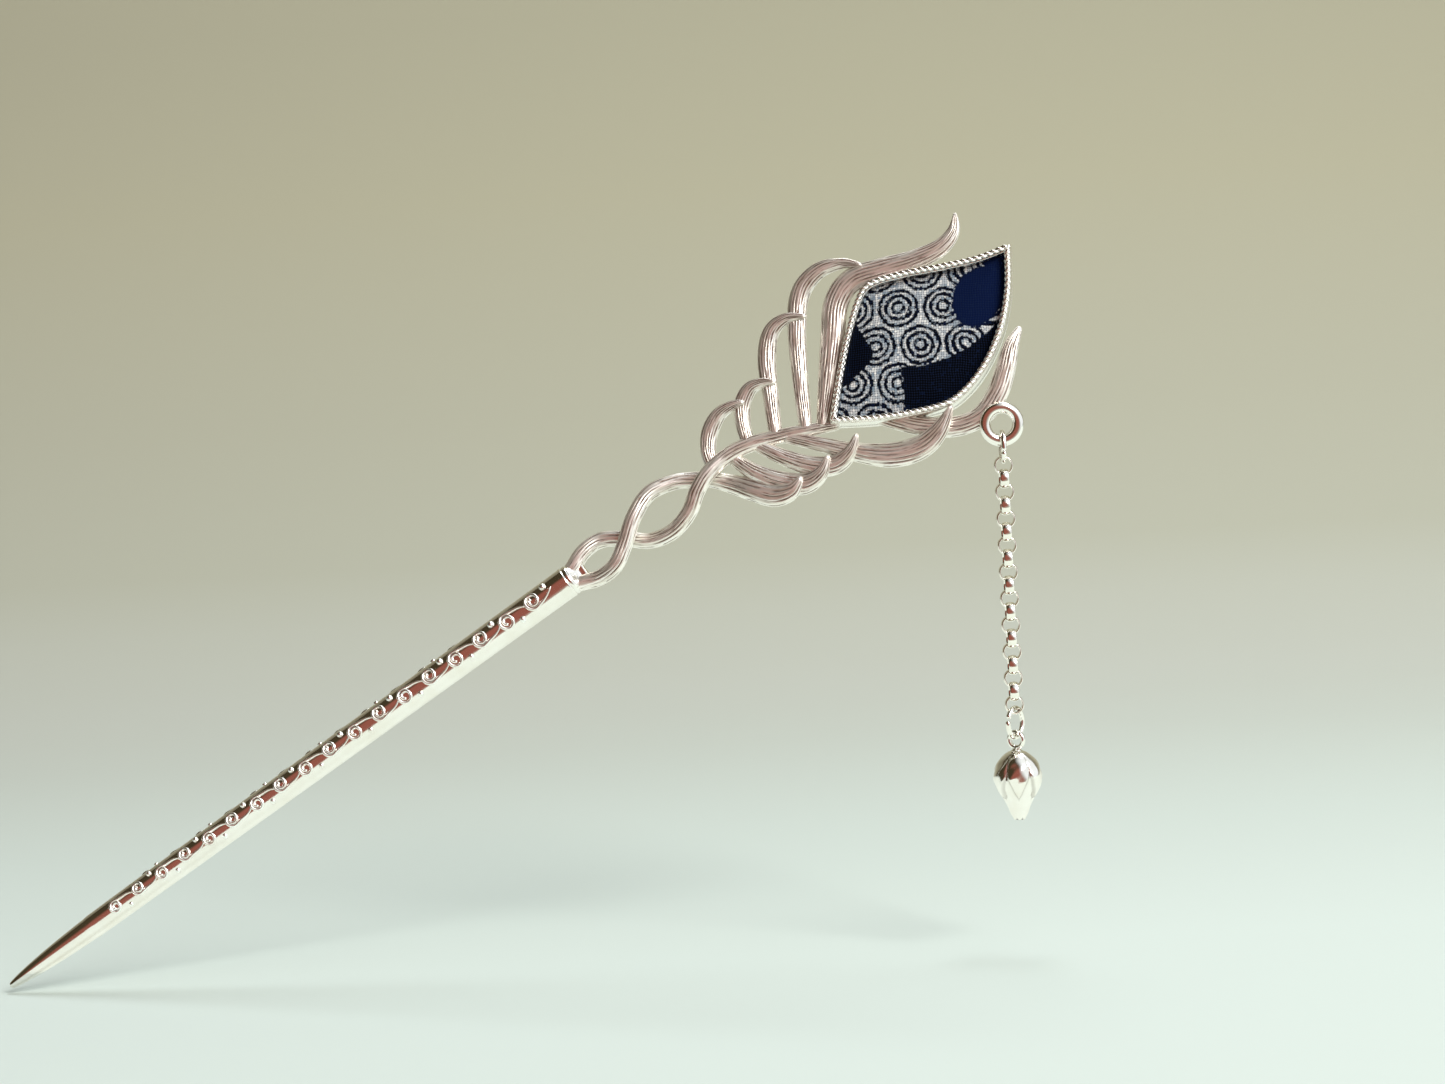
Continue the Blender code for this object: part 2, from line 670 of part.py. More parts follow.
def make_chain(centre):
    """Rings and links, each with its origin on the axis of the ring above, where it turns."""
    major = (HANG_RING_DIAMETER - HANG_RING_WIRE) / 2
    ring = finish("hang_ring", torus(major, HANG_RING_WIRE / 2, 28, 12), (0, 0, 0), SILVER)
    ring.location = centre
    jump_major = (JUMP_RING_DIAMETER - JUMP_RING_WIRE) / 2
    jump_inner = jump_major - JUMP_RING_WIRE / 2
    hang_inner = HANG_RING_DIAMETER / 2 - HANG_RING_WIRE
    pivot = Vector(centre)

    fall = hang_inner - HANG_GAP - JUMP_RING_WIRE / 2 + jump_major
    upper = torus(jump_major, JUMP_RING_WIRE / 2, 24, 8, (0, 0, -fall), JUMP_RING_SLIT, 0.3)
    made = finish("jump_ring_top", upper, (0, 0, 0), SILVER)
    made.location = pivot
    made.rotation_euler = (0, 0, math.radians(90))
    pivot = pivot + Vector((0, 0, -fall * MM))

    link_outer = LINK_DIAMETER / 2
    link_inner = link_outer - LINK_STRIP
    pitch = strip_pitch()
    step = jump_major + wire_depth(0.0) - HANG_GAP
    for number in range(1, LINK_COUNT + 1):
        drop = step if number == 1 else pitch
        body = strip_link(link_inner, link_outer, LINK_WIDTH, LINK_SIDES, (0, 0, -drop))
        link = finish(f"link_{number:02d}", body, (0, 0, 0), SILVER, roughness=0.22)
        link.location = pivot
        link.rotation_euler = (0, 0, math.radians(90) if number % 2 == 0 else 0.0)
        pivot = pivot + Vector((0, 0, -drop * MM))

    drop = jump_major + wire_depth(math.radians(LOWER_RING_TURN_DEG)) - HANG_GAP
    lower = torus(jump_major, JUMP_RING_WIRE / 2, 24, 8, (0, 0, -drop), JUMP_RING_SLIT * 2, math.pi - 0.3)
    made = finish("jump_ring_bottom", lower, (0, 0, 0), SILVER)
    made.location = pivot
    made.rotation_euler = (0, 0, math.radians(90 - LOWER_RING_TURN_DEG))
    pivot = pivot + Vector((0, 0, -drop * MM))
    make_bud(pivot, jump_inner)


def bud_radius(share, turn):
    """The bud's half width this far down it, with a shallow groove between petals."""
    knots = (
        (0.0, 0.15), (0.04, 0.42), (0.14, 0.74), (0.28, 0.95), (0.42, 1.0), (0.58, 0.86), (0.75, 0.60),
        (0.90, 0.40), (1.0, 0.28),
    )
    for (a, ra), (b, rb) in zip(knots, knots[1:]):
        if a <= share <= b:
            radius = ra + (rb - ra) * (share - a) / (b - a)
    groove = 0.05 * min(1.0, 4 * share) * (1 - abs(math.cos(BUD_PETALS * turn / 2)))
    return radius * (1 - groove) * BUD_WIDTH / 2


def make_bud(pivot, jump_inner):
    eye_major = (EYE_DIAMETER - EYE_WIRE) / 2
    eye_drop = jump_inner + eye_major - EYE_WIRE / 2 - HANG_GAP
    eye = finish("bud_eye", torus(eye_major, EYE_WIRE / 2, 20, 8, (0, 0, -eye_drop)), (0, 0, 0), SILVER)
    eye.location = pivot
    turn = math.radians(-LOWER_RING_TURN_DEG)
    eye.rotation_euler = (0, 0, turn)
    stem_top = -eye_drop - eye_major
    bud_top = -eye_drop - EYE_DIAMETER / 2 - SEAT_GAP
    reach = PEG_LENGTH + EYE_WIRE / 2
    stem = loft(((0.0, PEG_DIAMETER / 2, PEG_DIAMETER / 2), (reach, PEG_DIAMETER / 2, PEG_DIAMETER / 2)), 12)
    bmesh.ops.rotate(stem, verts=stem.verts[:], matrix=Matrix.Rotation(math.radians(90), 3, "Y"))
    bmesh.ops.translate(stem, verts=stem.verts[:], vec=(0, 0, stem_top))
    stem_object = finish("peg_helper", stem, (0, 0, 0), SILVER, helper=True)
    stem_object.location = pivot
    cut(eye, stem_object, "UNION")

    rows = 14
    sides = 36
    bm = bmesh.new()
    loops = []
    for row in range(rows + 1):
        share = row / rows
        loop = []
        for k in range(sides):
            angle = 2 * math.pi * k / sides
            radius = bud_radius(share, angle)
            height = bud_top - share * BUD_LENGTH
            loop.append(bm.verts.new((radius * math.cos(angle), radius * math.sin(angle), height)))
        loops.append(loop)
    mouth = []
    for radius_share, depth in ((0.62, 0.0), (0.5, MOUTH_DEPTH)):
        loop = []
        for k in range(sides):
            angle = 2 * math.pi * k / sides
            radius = bud_radius(1.0, angle) * radius_share
            height = bud_top - BUD_LENGTH + depth
            loop.append(bm.verts.new((radius * math.cos(angle), radius * math.sin(angle), height)))
        mouth.append(loop)
    bridge(bm, loops + mouth)
    bm.faces.new(loops[0][::-1])
    bm.faces.new(mouth[-1])
    bud = finish("bud", bm, (0, 0, 0), SILVER, roughness=0.22)
    bud.location = pivot
    bud.rotation_euler = (0, 0, turn)
    bore_radius = PEG_DIAMETER / 2 + SEAT_GAP
    bore = loft(((-1.0, bore_radius, bore_radius), (reach + SEAT_GAP, bore_radius, bore_radius)), 12)
    bmesh.ops.rotate(bore, verts=bore.verts[:], matrix=Matrix.Rotation(math.radians(90), 3, "Y"))
    bmesh.ops.translate(bore, verts=bore.verts[:], vec=(0, 0, stem_top))
    bore_object = finish("bud_bore_cutter", bore, (0, 0, 0), SILVER, helper=True)
    bore_object.location = pivot
    cut(bud, bore_object)


def main():
    clear_scene()
    hang_centre = PIN @ (ring_centre() * MM)
    make_shaft()
    yoke_tool = make_yoke()
    setting_tool = make_setting()
    ring_tool = make_ring_cutter(hang_centre)
    make_feather(yoke_tool, setting_tool, ring_tool)
    make_chain(hang_centre)


main()
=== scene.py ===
"""Hair stick with a feather head, a cloth setting and a chain with a bud drop, in full detail.

Lengths are in millimetres in the stick's own frame (along, across, forward), and in metres
once they are placed.  Every piece rides on the CAD body whose solid it stands for.
"""

import math

import bpy
import numpy as np
from mathutils import Matrix, Vector


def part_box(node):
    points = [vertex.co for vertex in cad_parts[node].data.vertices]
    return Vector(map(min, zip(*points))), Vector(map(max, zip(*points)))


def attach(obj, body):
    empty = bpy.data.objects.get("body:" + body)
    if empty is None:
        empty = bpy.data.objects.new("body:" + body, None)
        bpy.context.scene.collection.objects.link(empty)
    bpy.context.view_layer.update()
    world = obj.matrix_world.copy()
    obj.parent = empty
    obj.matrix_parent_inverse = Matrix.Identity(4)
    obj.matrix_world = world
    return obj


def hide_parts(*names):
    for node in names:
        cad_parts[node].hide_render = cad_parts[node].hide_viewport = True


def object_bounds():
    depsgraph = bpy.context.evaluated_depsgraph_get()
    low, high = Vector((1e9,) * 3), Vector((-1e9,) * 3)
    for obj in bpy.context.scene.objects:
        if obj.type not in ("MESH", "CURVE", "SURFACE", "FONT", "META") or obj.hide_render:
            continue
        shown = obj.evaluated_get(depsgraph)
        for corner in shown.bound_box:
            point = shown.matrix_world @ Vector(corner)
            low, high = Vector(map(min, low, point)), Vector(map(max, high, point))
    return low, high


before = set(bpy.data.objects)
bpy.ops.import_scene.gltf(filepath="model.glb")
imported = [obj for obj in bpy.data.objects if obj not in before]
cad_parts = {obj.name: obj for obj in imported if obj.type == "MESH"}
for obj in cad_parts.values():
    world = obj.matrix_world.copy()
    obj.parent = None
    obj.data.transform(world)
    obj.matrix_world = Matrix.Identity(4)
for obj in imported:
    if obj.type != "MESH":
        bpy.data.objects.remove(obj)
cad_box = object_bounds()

MM = 0.001
TAU = 2 * math.pi

# ---- the stick's frame ----------------------------------------------------------------
LEAN = math.radians(33.0)
ROLL = math.radians(20.0)
GRIP_FROM_SEAM = 40.0
ALONG = Vector((math.cos(LEAN), 0.0, math.sin(LEAN)))
FORWARD = Matrix.Rotation(-ROLL, 3, ALONG) @ Vector((0.0, -1.0, 0.0))
ACROSS = FORWARD.cross(ALONG)
AXES = np.array((ALONG, ACROSS, FORWARD))

SHAFT_LENGTH = 100.0
STRAND_WIDTH = 2.3
STRAND_HEIGHT = 2.2
PLUME_WIDTH = 2.4
PLUME_HEIGHT = 2.2
SETTING_BASE = (42.3, -4.3)
SETTING_TURN = math.radians(9.5)
SETTING_LENGTH = 36.0
# The setting's back face and wall top, off the stick's middle plane, and its thicknesses.
BACK = -1.5
TOP = 1.5
PLATE = 0.8
WALL = 0.8
SEAT_GAP = 0.03
BOARD_THICKNESS = 0.9
CLOTH_THICKNESS = 0.36
LOWER_RING_TURN = math.radians(35.0)


def on_pin(points):
    """Stick coordinates (along, across, forward) in mm to the part's frame in metres."""
    points = np.asarray(points, float)
    return (points @ AXES + GRIP_FROM_SEAM * np.array(ALONG)) * MM


def on_setting(x, y, height):
    """Setting coordinates in mm (along its axis from the base, across, forward)."""
    x, y, height = np.broadcast_arrays(x, y, height)
    s = SETTING_BASE[0] + x * math.cos(SETTING_TURN) - y * math.sin(SETTING_TURN)
    t = SETTING_BASE[1] + x * math.sin(SETTING_TURN) + y * math.cos(SETTING_TURN)
    return on_pin(np.stack((s, t, height), -1))


# ---- meshes ---------------------------------------------------------------------------
def grid_faces(rows, sides, closed_rows, closed_sides):
    """Quads over a grid of rows by sides points."""
    i = np.arange(rows if closed_rows else rows - 1)[:, None]
    j = np.arange(sides if closed_sides else sides - 1)[None, :]
    a = i * sides + j
    b = i * sides + (j + 1) % sides
    c = ((i + 1) % rows) * sides + (j + 1) % sides
    d = ((i + 1) % rows) * sides + j
    return np.stack((a, b, c, d), -1).reshape(-1, 4)


def signed_volume(points, faces):
    tri = points[np.concatenate((faces[:, [0, 1, 2]], faces[:, [0, 2, 3]]))]
    return np.einsum("ij,ij->", tri[:, 0], np.cross(tri[:, 1], tri[:, 2]))


def skin(rings, closed_rows=False, closed_sides=True, marks=None):
    """(points, quads, triangles, marks) of a tube or ring; an open tube's ends are fanned shut."""
    rows, sides = rings.shape[:2]
    points = rings.reshape(-1, 3)
    quads = grid_faces(rows, sides, closed_rows, closed_sides)
    tris = np.zeros((0, 3), int)
    marks = {k: np.asarray(v, float).reshape(-1) for k, v in (marks or {}).items()}
    if closed_sides and not closed_rows:
        ends = np.stack((rings[0].mean(0), rings[-1].mean(0)))
        first = len(points)
        points = np.concatenate((points, ends))
        marks = {k: np.concatenate((v, (v[0], v[-1]))) for k, v in marks.items()}
        j = np.arange(sides)
        k = (j + 1) % sides
        last = (rows - 1) * sides
        tris = np.concatenate(
            (
                np.stack((np.full(sides, first), k, j), -1),
                np.stack((np.full(sides, first + 1), last + j, last + k), -1),
            )
        )
    if closed_sides and signed_volume(points - points.mean(0), quads) < 0:
        quads = quads[:, ::-1]
        tris = tris[:, ::-1]
    return points, quads, tris, marks


def build(name, parts, material, body, stands_for=()):
    """One object from several skins, riding on its body in place of its CAD nodes."""
    points, faces, marks, start = [], [], {}, 0
    for part_points, quads, tris, part_marks in parts:
        points.append(part_points)
        faces += (quads + start).tolist()
        faces += (tris + start).tolist()
        for key, values in part_marks.items():
            marks.setdefault(key, []).append(values)
        start += len(part_points)
    mesh = bpy.data.meshes.new(name)
    mesh.from_pydata(np.concatenate(points).tolist(), [], faces)
    for key, values in marks.items():
        mesh.attributes.new(key, "FLOAT", "POINT").data.foreach_set("value", np.concatenate(values))
    mesh.shade_smooth()
    mesh.materials.append(material)
    mesh.update()
    obj = bpy.data.objects.new(name, mesh)
    bpy.context.scene.collection.objects.link(obj)
    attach(obj, body)
    if stands_for:
        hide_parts(*stands_for)
    return obj


def smooth_line(points, steps):
    """Catmull-Rom through the given rows of values."""
    p = np.asarray(points, float)
    rows = np.concatenate((p[:1], p, p[-1:]))
    u = (np.arange(steps) / steps)[:, None]
    line = []
    for a, b, c, d in zip(rows, rows[1:], rows[2:], rows[3:]):
        line.append(
            0.5 * (2 * b + (c - a) * u + (2 * a - 5 * b + 4 * c - d) * u**2 + (3 * b - a - 3 * c + d) * u**3)
        )
    return np.concatenate(line + [p[-1:]])


def even(line, step):
    """The line at even steps of its length; the first three values of a row are its place."""
    gaps = np.linalg.norm(np.diff(line[:, :3], axis=0), axis=1)
    length = np.concatenate(((0.0,), np.cumsum(gaps)))
    places = np.linspace(0.0, length[-1], max(3, int(length[-1] / step) + 1))
    return np.stack([np.interp(places, length, column) for column in line.T], -1), places


def unit(vectors):
    return vectors / np.maximum(np.linalg.norm(vectors, axis=-1, keepdims=True), 1e-9)


def tangents(line, closed=False):
    if closed:
        return unit(np.roll(line, -1, 0) - np.roll(line, 1, 0))
    return unit(np.gradient(line, axis=0))


# ---- materials ------------------------------------------------------------------------
def node(tree, kind, **settings):
    made = tree.nodes.new(kind)
    for key, value in settings.items():
        setattr(made, key, value)
    return made


def blank_material(name):
    made = bpy.data.materials.new(name)
    made.use_nodes = True
    return made, made.node_tree, made.node_tree.nodes["Principled BSDF"]


def noise(tree, scale, detail=3.0, stretch=(1, 1, 1)):
    """Noise over the object, with scale in features a millimetre."""
    place = node(tree, "ShaderNodeTexCoord")
    mapping = node(tree, "ShaderNodeMapping")
    mapping.inputs["Scale"].default_value = [1000 * scale * k for k in stretch]
    made = node(tree, "ShaderNodeTexNoise")
    made.inputs["Scale"].default_value = 1.0
    made.inputs["Detail"].default_value = detail
    tree.links.new(place.outputs["Object"], mapping.inputs["Vector"])
    tree.links.new(mapping.outputs["Vector"], made.inputs["Vector"])
    return made.outputs["Fac"]


def ranged(tree, source, low, high, start=0.0, stop=1.0):
    made = node(tree, "ShaderNodeMapRange")
    tree.links.new(source, made.inputs["Value"])
    made.inputs["From Min"].default_value = start
    made.inputs["From Max"].default_value = stop
    made.inputs["To Min"].default_value = low
    made.inputs["To Max"].default_value = high
    return made.outputs["Result"]


def fill(tree, socket, value):
    """Sets the socket to a number or colour, or links another node's output to it."""
    if isinstance(value, (int, float)):
        socket.default_value = value
    elif isinstance(value, tuple):
        socket.default_value = (*value, 1.0)
    else:
        tree.links.new(value, socket)


def sums(tree, operation, a, b=0.0, clamp=False):
    made = node(tree, "ShaderNodeMath", operation=operation, use_clamp=clamp)
    fill(tree, made.inputs[0], a)
    fill(tree, made.inputs[1], b)
    return made.outputs["Value"]


def math_node(tree, operation, a, b):
    """A math node whose result is kept between 0 and 1."""
    return sums(tree, operation, a, b, clamp=True)


def mixed(tree, factor, a, b):
    """Colour a where the factor is 0 and b where it is 1."""
    made = node(tree, "ShaderNodeMix", data_type="RGBA")
    for place, value in ((0, factor), (6, a), (7, b)):
        fill(tree, made.inputs[place], value)
    return made.outputs[2]


def chosen(tree, factor, a, b):
    """Value a where the factor is 0 and b where it is 1."""
    made = node(tree, "ShaderNodeMix", data_type="FLOAT")
    for place, value in ((0, factor), (2, a), (3, b)):
        fill(tree, made.inputs[place], value)
    return made.outputs[0]


def mark(tree, name):
    return node(tree, "ShaderNodeAttribute", attribute_name=name).outputs["Fac"]


def bump(tree, shader, source, strength, depth_mm):
    made = node(tree, "ShaderNodeBump")
    made.inputs["Strength"].default_value = strength
    made.inputs["Distance"].default_value = depth_mm * MM
    tree.links.new(source, made.inputs["Height"])
    tree.links.new(made.outputs["Normal"], shader.inputs["Normal"])


def silver(name, rough, grain, groove_darkening=0.0, tone=(0.93, 0.91, 0.87)):
    """Silver plate: cloudy gloss, a fine cast grain and a darker colour in worked grooves and crevices, where the
    groove mark is high.
    """
    made, tree, shader = blank_material(name)
    shader.inputs["Metallic"].default_value = 1.0
    cloud = noise(tree, 0.35, 2.0)
    fine = noise(tree, 7.0, 4.0)
    colour = mixed(tree, ranged(tree, cloud, 0.0, 1.0, 0.35, 0.7), tone, (0.88, 0.85, 0.79))
    gloss = math_node(tree, "ADD", ranged(tree, cloud, rough * 0.8, rough * 1.25), ranged(tree, fine, -0.03, 0.05))
    if groove_darkening:
        # Dark brown is mixed in where the groove mark is high, by the given share.
        groove = mark(tree, "groove")
        dark = math_node(tree, "MULTIPLY", groove, groove_darkening)
        colour = mixed(tree, dark, colour, (0.16, 0.13, 0.11))
        gloss = math_node(tree, "ADD", gloss, ranged(tree, groove, 0.0, 0.2))
    tree.links.new(colour, shader.inputs["Base Color"])
    tree.links.new(gloss, shader.inputs["Roughness"])
    bump(tree, shader, fine, grain, 0.02)
    return made


def chance(tree, x, y):
    """A random value for each pair of whole numbers."""
    pair = node(tree, "ShaderNodeCombineXYZ")
    fill(tree, pair.inputs["X"], x)
    fill(tree, pair.inputs["Y"], y)
    made = node(tree, "ShaderNodeTexWhiteNoise", noise_dimensions="2D")
    tree.links.new(pair.outputs["Vector"], made.inputs["Vector"])
    return made.outputs["Value"]


def batik():
    """Plain-weave cotton, dyed crossing by crossing wherever the dye mark is above 0, with painted shade in the gaps
    between the thread crowns.
    """
    made, tree, shader = blank_material("batik_cotton")
    warp, weft = mark(tree, "warp"), mark(tree, "weft")
    warp_cell, weft_cell = sums(tree, "FLOOR", warp), sums(tree, "FLOOR", weft)
    over = sums(tree, "FLOORED_MODULO", sums(tree, "ADD", warp_cell, weft_cell), 2.0)
    arch = [
        sums(tree, "SINE", sums(tree, "MULTIPLY", sums(tree, "FRACT", place), math.pi)) for place in (warp, weft)
    ]
    waist = [sums(tree, "ADD", sums(tree, "MULTIPLY", side, 0.65), 0.35) for side in arch]
    round_side = [sums(tree, "POWER", side, 0.7) for side in arch]
    crown = chosen(
        tree, over, sums(tree, "MULTIPLY", round_side[0], waist[1]), sums(tree, "MULTIPLY", round_side[1], waist[0])
    )
    cell = chance(tree, warp_cell, weft_cell)
    thread = chosen(tree, over, chance(tree, warp_cell, 3.5), chance(tree, 8.5, weft_cell))
    tone = math_node(tree, "ADD", sums(tree, "MULTIPLY", thread, 0.45), ranged(tree, cell, -0.15, 0.75))
    fibre = noise(tree, 9.0, 4.0)
    ragged = sums(tree, "ADD", mark(tree, "dye"), ranged(tree, cell, -0.17, 0.17))
    ragged = sums(tree, "ADD", ragged, ranged(tree, fibre, -0.05, 0.05, 0.3, 0.7))
    dye = ranged(tree, ragged, 0.0, 1.0, -0.07, 0.09)
    pale = mixed(tree, tone, (0.24, 0.32, 0.40), (0.90, 0.93, 0.92))
    deep = mixed(tree, mark(tree, "blue"), (0.0016, 0.002, 0.0035), (0.003, 0.0085, 0.045))
    deep = mixed(tree, ranged(tree, cell, 0.0, 0.5, 0.90, 1.0), deep, (0.006, 0.014, 0.05))
    colour = mixed(tree, dye, pale, deep)
    # Painted shade: the low gaps between the thread crowns are darkened toward dark navy.
    colour = mixed(tree, ranged(tree, crown, 0.9, 0.0, 0.16, 0.44), colour, (0.010, 0.02, 0.055))
    tree.links.new(colour, shader.inputs["Base Color"])
    tree.links.new(ranged(tree, fibre, 0.75, 0.95), shader.inputs["Roughness"])
    tree.links.new(ranged(tree, dye, 0.25, 0.02), shader.inputs["Specular IOR Level"])
    bump(tree, shader, crown, 0.5, 0.05)
    return made


def board_material():
    made, tree, shader = blank_material("grey_board")
    fleck = noise(tree, 2.0, 5.0)
    colour = mixed(tree, fleck, (0.30, 0.27, 0.22), (0.46, 0.42, 0.35))
    tree.links.new(colour, shader.inputs["Base Color"])
    tree.links.new(ranged(tree, fleck, 0.8, 0.95), shader.inputs["Roughness"])
    bump(tree, shader, fleck, 0.3, 0.05)
    return made


def brushed_silver(name, rough):
    """Cast silver combed lengthwise: uneven streaks, brown in the cuts."""
    made, tree, shader = blank_material(name)
    shader.inputs["Metallic"].default_value = 0.72
    place = node(tree, "ShaderNodeCombineXYZ")
    tree.links.new(mark(tree, "cross"), place.inputs["X"])
    tree.links.new(mark(tree, "run"), place.inputs["Y"])
    streaks = []
    for fine, length in ((2.6, 0.16), (6.5, 0.5)):
        spread = node(tree, "ShaderNodeMapping")
        spread.inputs["Scale"].default_value = (fine, length, 1.0)
        tree.links.new(place.outputs["Vector"], spread.inputs["Vector"])
        comb = node(tree, "ShaderNodeTexNoise")
        comb.inputs["Scale"].default_value = 1.0
        comb.inputs["Detail"].default_value = 2.0
        tree.links.new(spread.outputs["Vector"], comb.inputs["Vector"])
        streaks.append(comb.outputs["Fac"])
    coarse, thin = streaks
    groove = mark(tree, "groove")
    cut = math_node(
        tree, "ADD", math_node(tree, "MULTIPLY", groove, 0.95), ranged(tree, thin, 0.85, 0.0, 0.24, 0.44)
    )
    tone = mixed(tree, ranged(tree, coarse, 0.0, 1.0, 0.35, 0.65), (0.86, 0.82, 0.74), (1.0, 0.98, 0.94))
    tree.links.new(mixed(tree, cut, tone, (0.15, 0.085, 0.055)), shader.inputs["Base Color"])
    gloss = math_node(tree, "ADD", ranged(tree, thin, rough - 0.06, rough + 0.08), ranged(tree, groove, 0.0, 0.2))
    tree.links.new(gloss, shader.inputs["Roughness"])
    comb_bump = node(tree, "ShaderNodeBump")
    comb_bump.inputs["Strength"].default_value = 0.7
    comb_bump.inputs["Distance"].default_value = 0.10 * MM
    tree.links.new(coarse, comb_bump.inputs["Height"])
    fine_bump = node(tree, "ShaderNodeBump")
    fine_bump.inputs["Strength"].default_value = 0.7
    fine_bump.inputs["Distance"].default_value = 0.035 * MM
    tree.links.new(thin, fine_bump.inputs["Height"])
    tree.links.new(comb_bump.outputs["Normal"], fine_bump.inputs["Normal"])
    tree.links.new(fine_bump.outputs["Normal"], shader.inputs["Normal"])
    return made


SHAFT_SILVER = silver("shaft_silver", 0.13, 0.04)
RELIEF_SILVER = silver("relief_silver", 0.31, 0.15, tone=(0.96, 0.99, 0.97))
FEATHER_SILVER = brushed_silver("feather_silver", 0.30)
WALL_SILVER = silver("setting_silver", 0.22, 0.12)
BACK_SILVER = silver("back_silver", 0.30, 0.25)
ROPE_SILVER = silver("rope_silver", 0.26, 0.10, groove_darkening=0.6, tone=(0.97, 0.95, 0.91))
RING_SILVER = silver("ring_silver", 0.13, 0.10)
LINK_SILVER = silver("link_silver", 0.12, 0.04, tone=(0.92, 0.89, 0.83))
BUD_SILVER = silver("bud_silver", 0.12, 0.10, groove_darkening=0.6)
BATIK = batik()
BOARD = board_material()


# ---- shaft ----------------------------------------------------------------------------
SLIM = 1.8
WIDE = 2.25
POINT = 20.0
SHAFT_KNOTS = [
    (-SHAFT_LENGTH + ahead * POINT, share * SLIM)
    for ahead, share in ((0.0, 0.10), (0.02, 0.27), (0.15, 0.52), (0.4, 0.77), (0.7, 0.93), (1.0, 1.0))
] + [(-30.4, 2.124), (-0.25, WIDE)]


def shaft_radius(s):
    line = smooth_line(SHAFT_KNOTS, 12)
    return np.interp(s, line[:, 0], line[:, 1])


def make_shaft():
    s = np.concatenate((np.linspace(-SHAFT_LENGTH, -98.0, 14)[:-1], np.linspace(-98.0, -1.75, 150)))
    radius = shaft_radius(s)
    lip_s = np.array((-1.6, -1.45, -1.25, -1.08, -1.0, -0.92, -0.84, -0.6, -0.3, -0.03))
    lip_r = WIDE + np.array((0.0, 0.01, 0.03, 0.03, 0.01, -0.06, -0.12, -0.14, -0.14, -0.14))
    s = np.concatenate((s, lip_s))
    radius = np.concatenate((radius, lip_r))
    turn = TAU * np.arange(72) / 72
    rings = np.stack(
        (
            np.repeat(s[:, None], 72, 1),
            radius[:, None] * np.sin(turn)[None, :],
            radius[:, None] * np.cos(turn)[None, :],
        ),
        -1,
    )
    build("shaft_stick", [skin(on_pin(rings))], SHAFT_SILVER, "pin", ["shaft"])


def wrap(u, v, h, centre):
    """Unrolled shaft coordinates (down the shaft, round it, off its surface) to the stick's."""
    radius = shaft_radius(-u)
    angle = centre + v / radius
    out = radius + h
    return on_pin(np.stack((-u, out * np.sin(angle), out * np.cos(angle)), -1))


def wire_on_shaft(path, thick, centre):
    """A raised line that follows the path (down, round), thinning to nothing at both ends."""
    line, _ = even(np.concatenate((path, np.zeros((len(path), 1)), thick[:, None]), 1), 0.11)
    way = tangents(line[:, :2])
    side = np.stack((-way[:, 1], way[:, 0]), -1)
    turn = TAU * np.arange(10) / 10
    radius = line[:, 3:4]
    u = line[:, 0:1] + side[:, 0:1] * radius * np.cos(turn)
    v = line[:, 1:2] + side[:, 1:2] * radius * np.cos(turn)
    h = 0.05 + 1.2 * radius * np.sin(turn)
    return skin(wrap(u, v, h, centre))


def bead_on_shaft(u, v, radius, centre):
    tilt = np.linspace(-0.45 * math.pi, 0.49 * math.pi, 9)[:, None]
    turn = TAU * np.arange(14)[None, :] / 14
    return skin(
        wrap(
            u + radius * np.cos(tilt) * np.cos(turn),
            v + radius * np.cos(tilt) * np.sin(turn),
            0.04 + 0.85 * radius * np.sin(tilt) * np.ones_like(turn),
            centre,
        )
    )


SCROLL_SIZE = 1.20
SCROLL_SHRINK = 0.006      # the share each scroll down the shaft is smaller by


def scroll(start, middle, side, size):
    """A stem from start that sweeps past one side of the middle and winds into it."""
    angle = np.radians(np.linspace(-105.0, 450.0, 60))
    wound = (angle - angle[0]) / (angle[-1] - angle[0])
    reach = size * (1.0 - 0.72 * wound**1.35)
    curl = np.stack((reach * np.cos(angle), side * reach * np.sin(angle)), -1) + middle
    lead = np.array((curl[0] - start))
    pull = 0.42 * np.linalg.norm(lead)
    leave = np.array((0.80, -0.60 * side))
    arrive = np.array((-math.sin(angle[0]), side * math.cos(angle[0])))
    t = np.linspace(0.0, 1.0, 16)[:-1, None]
    stem = (
        (1 - t) ** 3 * start
        + 3 * (1 - t) ** 2 * t * (start + leave * pull)
        + 3 * (1 - t) * t**2 * (curl[0] - arrive * pull)
        + t**3 * curl[0]
    )
    thick = np.concatenate((np.linspace(0.10, 0.25, 15), 0.25 - 0.03 * wound))
    thick[0] = 0.01
    thick[-6:] = (0.22, 0.23, 0.24, 0.23, 0.17, 0.04)
    return np.concatenate((stem, curl)), thick


def make_relief():
    """A running vine of scrolls with a bead in each fork, on the face and once more behind."""
    parts = []
    for centre, first, spacing, count in ((-0.02, 6.6, 4.56, 18), (2.13, 20.3, 5.1, 12)):
        u = first
        start = np.array((first - 3.4, 0.3))
        for k in range(count):
            side = 1 if k % 2 == 0 else -1
            size = (SCROLL_SIZE - SCROLL_SHRINK * k) * shaft_radius(-u) / WIDE
            middle = np.array((u, 0.15 * side))
            path, thick = scroll(start, middle, side, size)
            parts.append(wire_on_shaft(path, thick, centre))
            back, out, radius = (2.3, 1.05, 0.54) if side > 0 else (2.0, 1.2, 0.48)
            parts.append(bead_on_shaft(u - back, out * side, radius * size / SCROLL_SIZE, centre))
            start = middle + np.array((size * 0.98, -0.1 * side))
            u += spacing * (1 - SCROLL_SHRINK * k)
    build("shaft_relief", parts, RELIEF_SILVER, "pin")


